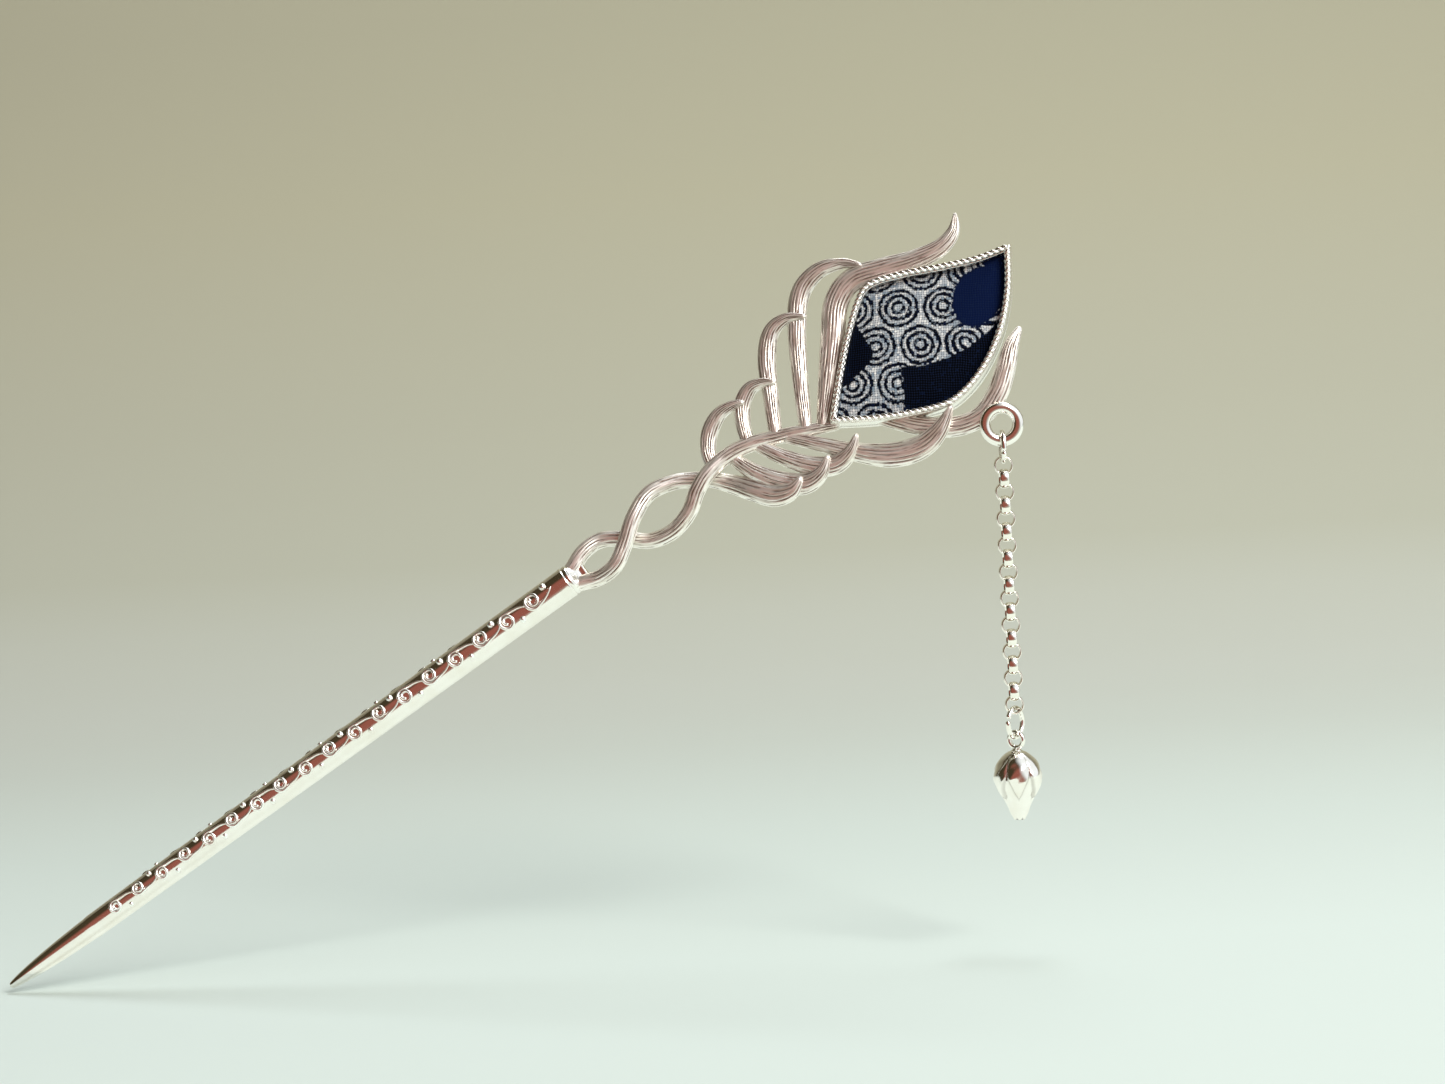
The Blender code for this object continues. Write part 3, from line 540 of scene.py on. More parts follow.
def make_yoke():
    """The neck: a full round at the shaft that thins to a web between the two strands."""
    share = np.sin(np.linspace(-math.pi / 2, math.pi / 2, 65))
    rings = []
    # Rows of (along, share of the full section left where an end closes).
    for s, closing in (
        (-0.86, 0.93), (-0.84, 0.965), (-0.78, 0.985), (-0.65, 0.995), (-0.5, 1.0), (-0.3, 1.0), (-0.1, 1.0),
        (0.1, 1.0), (0.3, 1.0), (0.5, 1.0), (0.7, 1.0), (0.9, 1.0), (1.1, 1.0), (1.3, 1.0), (1.5, 1.0),
        (1.7, 1.0), (1.9, 0.95), (2.02, 0.8), (2.12, 0.5), (2.17, 0.12),
    ):
        parted = min(max((s + 0.5) / 1.9, 0.0), 1.0)
        parted = parted * parted * (3 - 2 * parted)
        apart = 1.2 + 0.444 * max(s - 0.5, -0.5)
        half = 2.24 * (1 - parted) + apart * parted
        t = half * share * (closing if s < 0 else 1.0)
        full = half * np.sqrt(np.clip(1 - share**2, 0.0, 1.0))
        web = (0.95 - 0.4 * parted) * np.sqrt(np.clip(1 - share**8, 0.0, 1.0))
        front = (full * (1 - parted) + web * parted) * closing
        outline_t = np.concatenate((t, t[-2:0:-1]))
        outline_n = np.concatenate((front, -front[-2:0:-1]))
        rings.append(np.stack((np.full(len(outline_t), s), outline_t, outline_n), -1))
    build("yoke_fork", [skin(on_pin(np.array(rings)))], SHAFT_SILVER, "pin", ["yoke"])


# ---- feather --------------------------------------------------------------------------
# Rows of (along, across, lift, width, height); the last three are shares of the piece's own.
SPINE = (
    (-0.5, 1.05, 0.0, 0.9, 0.9), (0.5, 1.2, 0.0, 1.0, 1.0), (3.2, 2.4, -0.26, 1.0, 1.0), (6.1, 2.6, -1.0, 1.0, 1.0),
    (8.9, 0.8, -1.0, 1.0, 1.0), (12.0, -1.9, -1.0, 1.0, 1.0), (15.4, -3.0, -0.26, 1.0, 1.0),
    (18.8, -2.4, 0.52, 1.0, 1.0), (21.4, -0.8, 1.0, 1.0, 1.0), (24.0, 0.4, 1.0, 1.0, 1.0),
    (27.5, 1.1, 0.52, 1.0, 1.0), (31.5, 0.6, 0.17, 1.0, 1.0), (36.5, -1.4, 0.0, 0.92, 0.95),
    (40.0, -3.1, 0.0, 0.78, 0.9), (43.5, -4.9, 0.0, 0.6, 0.82),
)
TWIST = (
    (-0.5, -1.1, 0.0, 0.9, 0.9), (0.5, -1.3, 0.0, 1.0, 1.0), (3.2, -2.4, 0.26, 1.0, 1.0), (6.0, -2.5, 1.0, 1.0, 1.0),
    (8.6, -0.9, 1.0, 1.0, 1.0), (12.0, 1.7, 1.0, 1.0, 1.0), (15.6, 3.5, 0.26, 1.0, 1.0),
    (19.0, 3.2, -0.52, 1.0, 1.0), (21.6, 2.0, -1.0, 1.0, 1.0), (24.0, 0.2, -1.0, 1.0, 1.0),
    (26.2, -2.4, -0.78, 1.22, 1.0), (28.1, -5.1, -0.17, 1.43, 1.0), (30.1, -7.7, 0.17, 1.48, 1.0),
    (32.4, -8.8, 0.7, 1.09, 0.82), (34.7, -8.1, 1.13, 0.3, 0.32),
)
UPPER_PLUMES = (
    ((25.3, 0.6, 0.0, 0.79, 0.86), (25.9, 3.2, 0.0, 0.92, 1.0), (27.7, 5.6, 0.0, 1.04, 1.0),
     (30.2, 6.9, 0.14, 0.92, 0.91), (32.6, 6.7, 0.41, 0.62, 0.68), (34.4, 5.9, 0.59, 0.25, 0.27)),
    ((31.2, 0.6, 0.0, 0.79, 0.86), (32.2, 3.4, 0.0, 0.92, 1.0), (33.7, 6.0, 0.0, 1.04, 1.0),
     (35.9, 7.3, 0.14, 0.92, 0.91), (38.0, 6.8, 0.41, 0.62, 0.68), (39.6, 5.5, 0.59, 0.25, 0.27)),
    ((35.0, -0.8, 0.0, 0.79, 0.86), (37.6, 4.2, 0.0, 0.96, 1.0), (40.4, 9.4, 0.0, 1.12, 1.0),
     (43.2, 12.4, 0.09, 1.04, 0.95), (46.1, 12.6, 0.36, 0.71, 0.73), (48.7, 10.9, 0.59, 0.25, 0.27)),
    ((39.0, -2.6, 0.0, 0.79, 0.86), (42.6, 4.0, 0.0, 0.96, 1.0), (46.4, 10.4, 0.0, 1.12, 1.0),
     (49.9, 14.6, 0.05, 1.21, 1.0), (53.8, 15.7, 0.23, 1.04, 0.91), (57.2, 14.4, 0.41, 0.67, 0.68),
     (59.4, 12.2, 0.59, 0.25, 0.27)),
    ((41.2, -3.6, 0.0, 0.75, 0.86), (45.7, 1.5, 0.0, 1.2, 1.0), (50.0, 6.5, 0.0, 1.46, 1.05),
     (53.3, 10.3, 0.0, 1.54, 1.05), (56.9, 11.6, 0.09, 1.54, 1.05), (61.1, 10.3, 0.18, 1.46, 1.05),
     (65.4, 8.5, 0.27, 1.33, 1.0), (69.5, 7.6, 0.32, 1.12, 0.91), (72.6, 8.4, 0.32, 0.79, 0.73),
     (74.5, 10.6, 0.32, 0.21, 0.27)),
)
LOWER_PLUMES = (
    ((28.4, 0.2, 0.0, 0.79, 0.82), (29.8, -3.4, 0.0, 1.08, 0.95), (32.1, -6.8, 0.0, 1.29, 1.0),
     (34.6, -9.0, 0.09, 1.29, 0.95), (37.3, -9.2, 0.36, 0.87, 0.77), (39.6, -7.8, 0.59, 0.25, 0.27)),
    ((32.2, 0.0, 0.0, 0.79, 0.82), (34.4, -4.1, 0.0, 1.0, 0.95), (36.9, -7.5, 0.0, 1.21, 1.0),
     (39.6, -9.3, 0.09, 1.21, 0.95), (42.3, -9.2, 0.36, 0.83, 0.77), (44.6, -7.7, 0.59, 0.25, 0.27)),
    ((36.2, -1.6, 0.0, 0.75, 0.82), (39.6, -5.6, 0.0, 0.88, 0.95), (43.0, -9.6, 0.0, 1.17, 1.0),
     (46.6, -12.9, 0.05, 1.5, 1.05), (50.4, -14.6, 0.18, 1.46, 1.0), (54.0, -14.4, 0.41, 1.08, 0.86),
     (57.6, -12.6, 0.68, 0.29, 0.32)),
    ((48.2, -6.6, -0.09, 1.0, 0.82), (52.0, -11.4, -0.14, 1.17, 0.91), (55.8, -14.7, -0.09, 1.25, 0.95),
     (59.8, -16.0, 0.0, 1.25, 1.0), (63.4, -14.9, 0.09, 1.29, 1.0), (66.4, -12.8, 0.14, 1.21, 0.95),
     (69.2, -10.4, 0.18, 0.92, 0.86), (72.0, -8.8, 0.18, 0.33, 0.36)),
)


def grooved_rod(points, width, height, lift, lines, seed, root=0.0, sides=128, square=2.15):
    """A rod of rounded-square section with lengthwise cut lines on its faces."""
    random = np.random.default_rng(seed)
    table = np.array([(s, t, up * lift, w * width, h * height) for s, t, up, w, h in points])
    line, places = even(smooth_line(table, 10), 0.28)
    total = places[-1]
    tip = np.clip((total - places) / (0.5 * line[-1, 3] + 0.2), 0.0, 1.0)
    closing = np.sqrt(np.clip(1 - (1 - tip) ** 2, 0.003, 1.0))
    middle = line[:, :3]
    way = tangents(middle)
    side = unit(np.cross((0.0, 0.0, 1.0), way))
    up = np.cross(way, side)
    half_w = (line[:, 3] / 2 * closing)[:, None]
    half_h = (line[:, 4] / 2 * closing)[:, None]
    turn = TAU * (np.arange(sides) + 0.5) / sides
    cx = np.sign(np.cos(turn)) * np.abs(np.cos(turn)) ** (2 / square)
    cy = np.sign(np.sin(turn)) * np.abs(np.sin(turn)) ** (2 / square)
    nx = (np.sign(cx) * np.abs(cx) ** (square - 1))[None, :] / half_w
    ny = (np.sign(cy) * np.abs(cy) ** (square - 1))[None, :] / half_h
    length = np.sqrt(nx**2 + ny**2)
    depth = np.zeros((len(line), sides))
    along = places[:, None]
    shallow = np.zeros((len(line), sides))
    for face in (1.0, -1.0):
        on_face = np.clip((cy[None, :] * face - 0.35) / 0.3, 0.0, 1.0)
        phase = random.uniform(0, TAU)
        sway = 0.10 * np.sin(along / random.uniform(3.0, 5.0) + phase) + 0.05 * np.sin(along / 1.3 + 2 * phase)
        column = (cx[None, :] * 0.94 + 1.0) / 2 * lines + sway
        ridge = np.abs(np.sin(math.pi * column))
        shallow = np.maximum(shallow, (1 - ridge) ** 0.9 * on_face)
        number = np.round(column)
        for k in range(lines + 1):
            wave = np.sin(along * TAU / random.uniform(4.5, 9.0) + random.uniform(0, TAU))
            cut = np.clip(0.55 + 0.75 * wave, 0.0, 1.0)
            near = np.exp(-(((column - number) * 2 * half_w / lines / 0.07) ** 2)) * (number == k)
            depth = np.maximum(depth, near * cut * on_face)
    for face in (1.0, -1.0):
        for at in (-0.38, 0.28):
            wave = np.sin(along * TAU / random.uniform(3.2, 4.4) + random.uniform(0, TAU))
            cut = np.clip(2.2 * wave + 1.0, 0.0, 1.0)
            near = np.exp(-((((cy[None, :] - at) * half_h) / 0.075) ** 2))
            depth = np.maximum(depth, near * cut * (cx[None, :] * face > 0.72))
    fade = np.clip(np.minimum((places - root) / 1.2, (total - places) / 1.6), 0.0, 1.0)[:, None]
    depth = depth * fade
    shallow = shallow * np.clip(np.minimum((places - root) / 2.0, (total - places) / 0.8), 0.0, 1.0)[:, None]
    sink = 0.08 * depth + 0.035 * shallow
    x = half_w * cx - sink * nx / length
    y = half_h * cy - sink * ny / length
    rings = middle[:, None] + side[:, None] * x[..., None] + up[:, None] * y[..., None]
    marks = {
        "groove": np.clip(depth + 0.25 * shallow, 0.0, 1.0),
        "cross": (np.arcsin(np.clip(cx, -1, 1))[None, :] * half_w * 0.8 + 7 * (cy < 0)[None, :] + 3.0 * seed),
        "run": np.broadcast_to(along, depth.shape),
    }
    return skin(on_pin(rings), marks=marks)


def make_feather():
    cross = (STRAND_HEIGHT + 0.1) / 2
    rods = [
        ("spine_rib", "spine", SPINE, STRAND_WIDTH, STRAND_HEIGHT, cross, 5),
        ("twist_band", "twist_strand", TWIST, STRAND_WIDTH, STRAND_HEIGHT, cross, 5),
    ]
    for side, row, first in (("upper", UPPER_PLUMES, 1), ("lower", LOWER_PLUMES, 2)):
        for number, points in enumerate(row, first):
            lines = 8 if side == "upper" and number == 5 else 7
            name = f"plume_{side}_{number}"
            rods.append((f"feather_{side}_{number}", name, points, PLUME_WIDTH, PLUME_HEIGHT, PLUME_HEIGHT, lines))
    for seed, (name, stands, points, width, height, lift, lines) in enumerate(rods):
        root = 2.0 if stands in ("spine", "twist_strand") else 0.0
        part = grooved_rod(points, width, height, lift, lines, 40 + seed, root)
        build(name, [part], FEATHER_SILVER, "pin", [stands])


# ---- setting --------------------------------------------------------------------------
UPPER = ((0, 0), (5.3, 4.0), (11.3, 8.1), (16.0, 10.6), (18.3, 10.8), (22.2, 8.7), (27.0, 5.2),
         (31.4, 2.2), (36.0, 0))
LOWER = ((0, 0), (5.3, -5.0), (11.0, -9.2), (14.4, -10.8), (20.0, -10.6), (26.0, -8.4),
         (31.0, -5.0), (36.0, 0))


def side_curve(side):
    """The side's height and slope on a fine grid of places along the axis."""
    p = np.array(side, float)
    before = 2 * p[0] - p[1]
    after = 2 * p[-1] - p[-2]
    rows = np.concatenate((before[None], p, after[None]))
    slope = (rows[2:, 1] - rows[:-2, 1]) / (rows[2:, 0] - rows[:-2, 0])
    x = np.linspace(0.0, SETTING_LENGTH, 1441)
    i = np.clip(np.searchsorted(p[:, 0], x, "right") - 1, 0, len(p) - 2)
    span = p[i + 1, 0] - p[i, 0]
    u = (x - p[i, 0]) / span
    y = (
        (2 * u**3 - 3 * u**2 + 1) * p[i, 1] + (u**3 - 2 * u**2 + u) * span * slope[i]
        + (3 * u**2 - 2 * u**3) * p[i + 1, 1] + (u**3 - u**2) * span * slope[i + 1]
    )
    grow = np.linspace(-2.0, 0.0, 80, endpoint=False)
    x = np.concatenate((grow, x, SETTING_LENGTH - grow[::-1]))
    y = np.concatenate((grow * p[1, 1] / p[1, 0], y, grow[::-1] * (p[-2, 1] / (p[-1, 0] - p[-2, 0]))))
    return x, y, np.gradient(y, x)


UPPER_CURVE = side_curve(UPPER)
LOWER_CURVE = side_curve(LOWER)


def edges(inset):
    """Places along the axis and the two sides' heights there, moved in by inset."""
    x, high, slope = UPPER_CURVE
    top = high - inset * np.sqrt(1 + slope**2)
    _, low, slope = LOWER_CURVE
    bottom = np.interp(x, LOWER_CURVE[0], low + inset * np.sqrt(1 + slope**2))
    inside = np.flatnonzero(top > bottom)
    keep = slice(inside[0], inside[-1] + 1)
    return x[keep], top[keep], bottom[keep]


def outline(inset, count=150):
    """Points round the leaf, 2 * count of them for any inset."""
    x, top, bottom = edges(inset)
    share = 0.5 - 0.5 * np.cos(np.linspace(0.0, math.pi, count + 1))
    share = 0.35 * share + 0.65 * np.linspace(0.0, 1.0, count + 1)
    places = x[0] + (x[-1] - x[0]) * share
    high = np.interp(places, x, top)
    low = np.interp(places, x, bottom)
    ends = (high + low) / 2
    high[[0, -1]] = low[[0, -1]] = ends[[0, -1]]
    return np.concatenate(
        (np.stack((places, high), -1), np.stack((places, low), -1)[-2:0:-1])
    )


def leaf_rings(section):
    rings = []
    for inset, height in section:
        loop = outline(inset)
        rings.append(on_setting(loop[:, 0], loop[:, 1], height))
    return np.array(rings)


DOME_RISE = 1.1
DOME_REACH = 6.6


def dome(distance):
    """How far the cloth has risen this far in from its edge."""
    return DOME_RISE * (1 - (1 - np.clip(distance / DOME_REACH, 0.0, 1.0)) ** 2.4)


FLOOR_OF_BOARD = BACK + PLATE + SEAT_GAP
CLOTH_EDGE = FLOOR_OF_BOARD + BOARD_THICKNESS + CLOTH_THICKNESS


def make_setting():
    plate = ((0.9, BACK + 0.12), (0.62, BACK + 0.12), (0.5, BACK), (0.18, BACK), (0.04, BACK + 0.08),
             (0.0, BACK + 0.25), (0.0, BACK + PLATE - 0.1), (0.06, BACK + PLATE))
    build("setting_plate", [skin(leaf_rings(plate))], BACK_SILVER, "pin", ["setting_back"])
    low = FLOOR_OF_BOARD
    wall = ((0.05, low), (0.0, low + 0.12), (0.0, TOP - 0.25), (0.05, TOP - 0.08), (0.2, TOP), (0.7, TOP),
            (WALL, TOP - 0.1), (WALL, low))
    build("setting_band", [skin(leaf_rings(wall), closed_rows=True)], WALL_SILVER, "pin",
          ["setting_wall"])
    board = ((0.95, FLOOR_OF_BOARD), (0.9, FLOOR_OF_BOARD + 0.7), *[
        (0.9 + d, FLOOR_OF_BOARD + 0.85 + dome(d)) for d in (0.3, 0.8, 1.6, 2.6, 4.0, 6.2, 8.4)])
    build("board_core", [skin(leaf_rings(board))], BOARD, "pin", ["cloth_board"])
    make_rope()
    make_cloth()


ROPE_PITCH = 1.75
ROPE_WIRE = 0.30
ROPE_OFFSET = 0.165
ROPE_MIDDLE = TOP + 0.44


def make_rope():
    """Two wires twisted together round the top of the wall."""
    loop = outline(WALL / 2, 400)
    loop = np.concatenate((loop, loop[:1]))
    line, _ = even(np.concatenate((loop, np.zeros((len(loop), 1))), 1), 0.11)
    line = line[:-1]
    for _ in range(6):
        line = (np.roll(line, 1, 0) + 2 * line + np.roll(line, -1, 0)) / 4
    way = tangents(line, closed=True)
    side = np.cross((0.0, 0.0, 1.0), way)
    gaps = np.linalg.norm(np.diff(line, axis=0, append=line[:1]), axis=1)
    places = np.cumsum(gaps) - gaps[0]
    twists = round(gaps.sum() / ROPE_PITCH)
    around = TAU * np.arange(10) / 10
    parts = []
    for start in (0.0, math.pi):
        turn = TAU * twists * places / gaps.sum() + start
        offset = ROPE_OFFSET * (side * np.cos(turn)[:, None] + np.array((0, 0, 1.0)) * np.sin(turn)[:, None])
        middle = line + offset
        out_side = side[:, None] * np.cos(around)[None, :, None]
        out_up = np.array((0, 0, 1.0)) * np.sin(around)[None, :, None]
        rings = middle[:, None] + ROPE_WIRE * (out_side + out_up)
        facing_out = np.cos(around[None, :] - turn[:, None])
        # The groove mark is highest on the side of each wire that faces into the twist, and it darkens the colour
        # there.
        groove = np.clip(0.15 - facing_out, 0.0, 1.0)
        placed = on_setting(rings[..., 0], rings[..., 1], ROPE_MIDDLE + rings[..., 2])
        parts.append(skin(placed, closed_rows=True, marks={"groove": groove}))
    build("rope_twist", parts, ROPE_SILVER, "pin", ["rope_edge"])


# ---- cloth ----------------------------------------------------------------------------
THREAD = 0.35
GRAIN = math.radians(45.0)

# A plain all-over pattern: ripples round the points of a triangular lattice, in mm.
RIPPLE_SPACING = 6.4
RIPPLE_RADII = (0.8, 1.75, 2.7)
RIPPLE_HALF_WIDTH = 0.26


def ripple_distance(x, y):
    """Distance from each place to the nearest point of the lattice."""
    row = RIPPLE_SPACING * math.sqrt(3) / 2
    best = np.full(x.shape, RIPPLE_SPACING)
    for shift in (0, 1):
        right = (x - (shift - 1) * RIPPLE_SPACING / 2) % RIPPLE_SPACING - RIPPLE_SPACING / 2
        above = (y - (shift - 1) * row) % (2 * row) - row
        best = np.minimum(best, np.hypot(right, above))
    return best


def batik_pattern(x, y):
    """(dye, blue) at places on the cloth's grain: how dark the dye is, and how blue it shows."""
    rise = y - 10.4
    left = 6.15 - np.where(rise > 0, 0.62 * rise, 0.33 * np.abs(rise) ** 1.6)
    over = np.clip(x - 10.3, 0.0, None)
    under = 7.9 + 0.027 * over**2 + 0.00005 * over**4 - y
    field = np.maximum(left - x, np.minimum(under, x - 10.1 - 0.06 * (8.0 - y)))
    lean = math.radians(-20.0)
    ox = (x - 20.9) * math.cos(lean) + (y - 18.0) * math.sin(lean)
    oy = (y - 18.0) * math.cos(lean) - (x - 20.9) * math.sin(lean)
    oval = (1 - np.hypot(ox / 3.5, oy / 4.8)) * 4.1
    corner = np.minimum(x - 21.5, y - 15.6 - 0.6 * (x - 22.0))
    blue = np.clip(0.5 + np.maximum(oval, corner), 0.0, 1.0)
    field = np.maximum(field, np.maximum(oval, corner))
    away = ripple_distance(x, y)
    for radius in RIPPLE_RADII:
        field = np.maximum(field, RIPPLE_HALF_WIDTH - np.abs(away - radius))
    return field, blue


def make_cloth():
    """The dyed cloth over its board, with a low crown at every thread crossing."""
    inset = 0.84
    x_edge, top, bottom = edges(inset)
    rows = 452
    columns = 276
    x = np.linspace(x_edge[0], x_edge[-1], rows)
    high = np.interp(x, x_edge, top)
    low = np.interp(x, x_edge, bottom)
    share = np.linspace(0.0, 1.0, columns)[None, :]
    y = low[:, None] + (high - low)[:, None] * share
    x = np.repeat(x[:, None], columns, 1)
    upper_slope = np.interp(x, UPPER_CURVE[0], UPPER_CURVE[2])
    lower_slope = np.interp(x, LOWER_CURVE[0], LOWER_CURVE[2])
    to_top = (high[:, None] - y) / np.sqrt(1 + upper_slope**2)
    to_bottom = (y - low[:, None]) / np.sqrt(1 + lower_slope**2)
    soft = 0.8
    near = -soft * np.logaddexp(-to_top / soft, -to_bottom / soft)
    near = np.clip(near + soft * math.log(2) * np.exp(-np.abs(to_top - to_bottom) / 4), 0.0, None)
    height = CLOTH_EDGE + dome(near)

    right = x * math.cos(GRAIN) - y * math.sin(GRAIN)
    above = x * math.sin(GRAIN) + y * math.cos(GRAIN)
    bend_x = right + 0.05 * np.sin(above * 1.1) + 0.04 * np.sin(above * 2.7 + 1.0)
    bend_y = above + 0.05 * np.sin(right * 0.9 + 2.0) + 0.04 * np.sin(right * 2.3)
    warp = np.floor(bend_x / THREAD).astype(int)
    weft = np.floor(bend_y / THREAD).astype(int)
    fx = bend_x / THREAD - warp
    fy = bend_y / THREAD - weft
    across_warp = np.sin(math.pi * fx)
    across_weft = np.sin(math.pi * fy)
    over = (warp + weft) % 2 == 0
    crown = np.where(over, across_warp**0.8 * (0.25 + 0.75 * across_weft**0.6),
                     across_weft**0.8 * (0.25 + 0.75 * across_warp**0.6))
    slack = np.clip(near / 0.5, 0.0, 1.0)
    height = height + 0.085 * (crown - 0.5) * slack

    field, blue = batik_pattern(bend_x, bend_y)
    marks = {"dye": field, "blue": blue, "warp": bend_x / THREAD, "weft": bend_y / THREAD}
    part = skin(on_setting(x, y, height), closed_sides=False, marks=marks)
    cover = build("batik_cover", [part], BATIK, "pin", ["cloth"])
    x_edge, top, bottom = edges(0.0)


# ---- chain ----------------------------------------------------------------------------
def box_centre(name):
    low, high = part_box(name)
    return np.array((low + high) / 2)


def ring(centre, axis, section, count, start=0.0, stop=TAU, slim_ends=False):
    """A ring of the given section (out from its middle, along its axis), in mm, as a skin."""
    axis = np.array(Vector(axis).normalized())
    first = unit(np.cross(axis, (0.0, 0.0, 1.0)))
    second = np.cross(axis, first)
    closed = abs(stop - start - TAU) < 1e-6
    turn = np.linspace(start, stop, count, endpoint=not closed)
    out = np.cos(turn)[:, None] * first + np.sin(turn)[:, None] * second
    radial, axial = section
    middle = radial.mean()
    size = np.ones(count)
    if slim_ends:
        size = np.clip(np.minimum(np.arange(count), np.arange(count)[::-1]) / 2.0 + 0.55, 0.0, 1.0)
    r = middle + (radial - middle)[None, :] * size[:, None]
    a = axial[None, :] * size[:, None]
    rings = centre + (out[:, None] * r[..., None] + axis * a[..., None]) * MM
    return skin(rings, closed_rows=closed)


def round_section(major, minor, sides=20, stretch=1.0):
    turn = TAU * np.arange(sides) / sides
    return major + minor * np.cos(turn), minor * stretch * np.sin(turn)


def strip_section(outer, thick, width, sides=22):
    """A belcher strip: round outside, nearly flat inside, thin at its edges."""
    turn = TAU * np.arange(sides) / sides
    flat = np.where(np.cos(turn) > 0, 1.0, 0.75)
    out = outer - thick / 2 + flat * thick / 2 * np.sign(np.cos(turn)) * np.abs(np.cos(turn)) ** 0.9
    return out, width / 2 * np.sin(turn)


# (radius of the ring's middle line, radius of its wire)
HANG_RING = (2.325, 0.825)
JUMP_RING = (2.05, 0.35)
BUD_EYE = (1.09, 0.31)
LINK_STRIP = (1.38, 0.40, 1.25)     # outside radius, thickness, width
LINKS = 19


def make_chain():
    parts = [ring(box_centre("hang_ring"), (0, 1, 0), round_section(*HANG_RING, 28), 72)]
    build("hang_loop", parts, RING_SILVER, "pin", ["hang_ring"])
    upper = ring(box_centre("jump_ring_top"), (1, 0, 0), round_section(*JUMP_RING), 64, 0.3, 0.3 + TAU - 0.05,
                 slim_ends=True)
    build("split_ring_top", [upper], RING_SILVER, "upper_ring", ["jump_ring_top"])
    section = strip_section(*LINK_STRIP)
    for number in range(1, LINKS + 1):
        node_name = f"link_{number:02d}"
        axis = (1, 0, 0) if number % 2 == 0 else (0, 1, 0)
        part = ring(box_centre(node_name), axis, section, 48)
        build(f"belcher_{number:02d}", [part], LINK_SILVER, node_name, [node_name])
    axis = Vector((-math.cos(LOWER_RING_TURN), math.sin(LOWER_RING_TURN), 0.0))
    lower = ring(box_centre("jump_ring_bottom"), axis, round_section(*JUMP_RING), 64,
                 math.pi + 0.38, math.pi + 0.38 + TAU - 0.16, slim_ends=True)
    build("split_ring_bottom", [lower], RING_SILVER, "lower_ring", ["jump_ring_bottom"])


# ---- bud ------------------------------------------------------------------------------
# Rows of (share of the length from the stem, share of the bud's radius).
BUD_RADIUS = 3.45
BUD_KNOTS = (
    (0.0, 0.15), (0.04, 0.42), (0.14, 0.74), (0.28, 0.95), (0.42, 1.0), (0.58, 0.86), (0.75, 0.60),
    (0.90, 0.40), (1.0, 0.28),
)
PETALS = 6


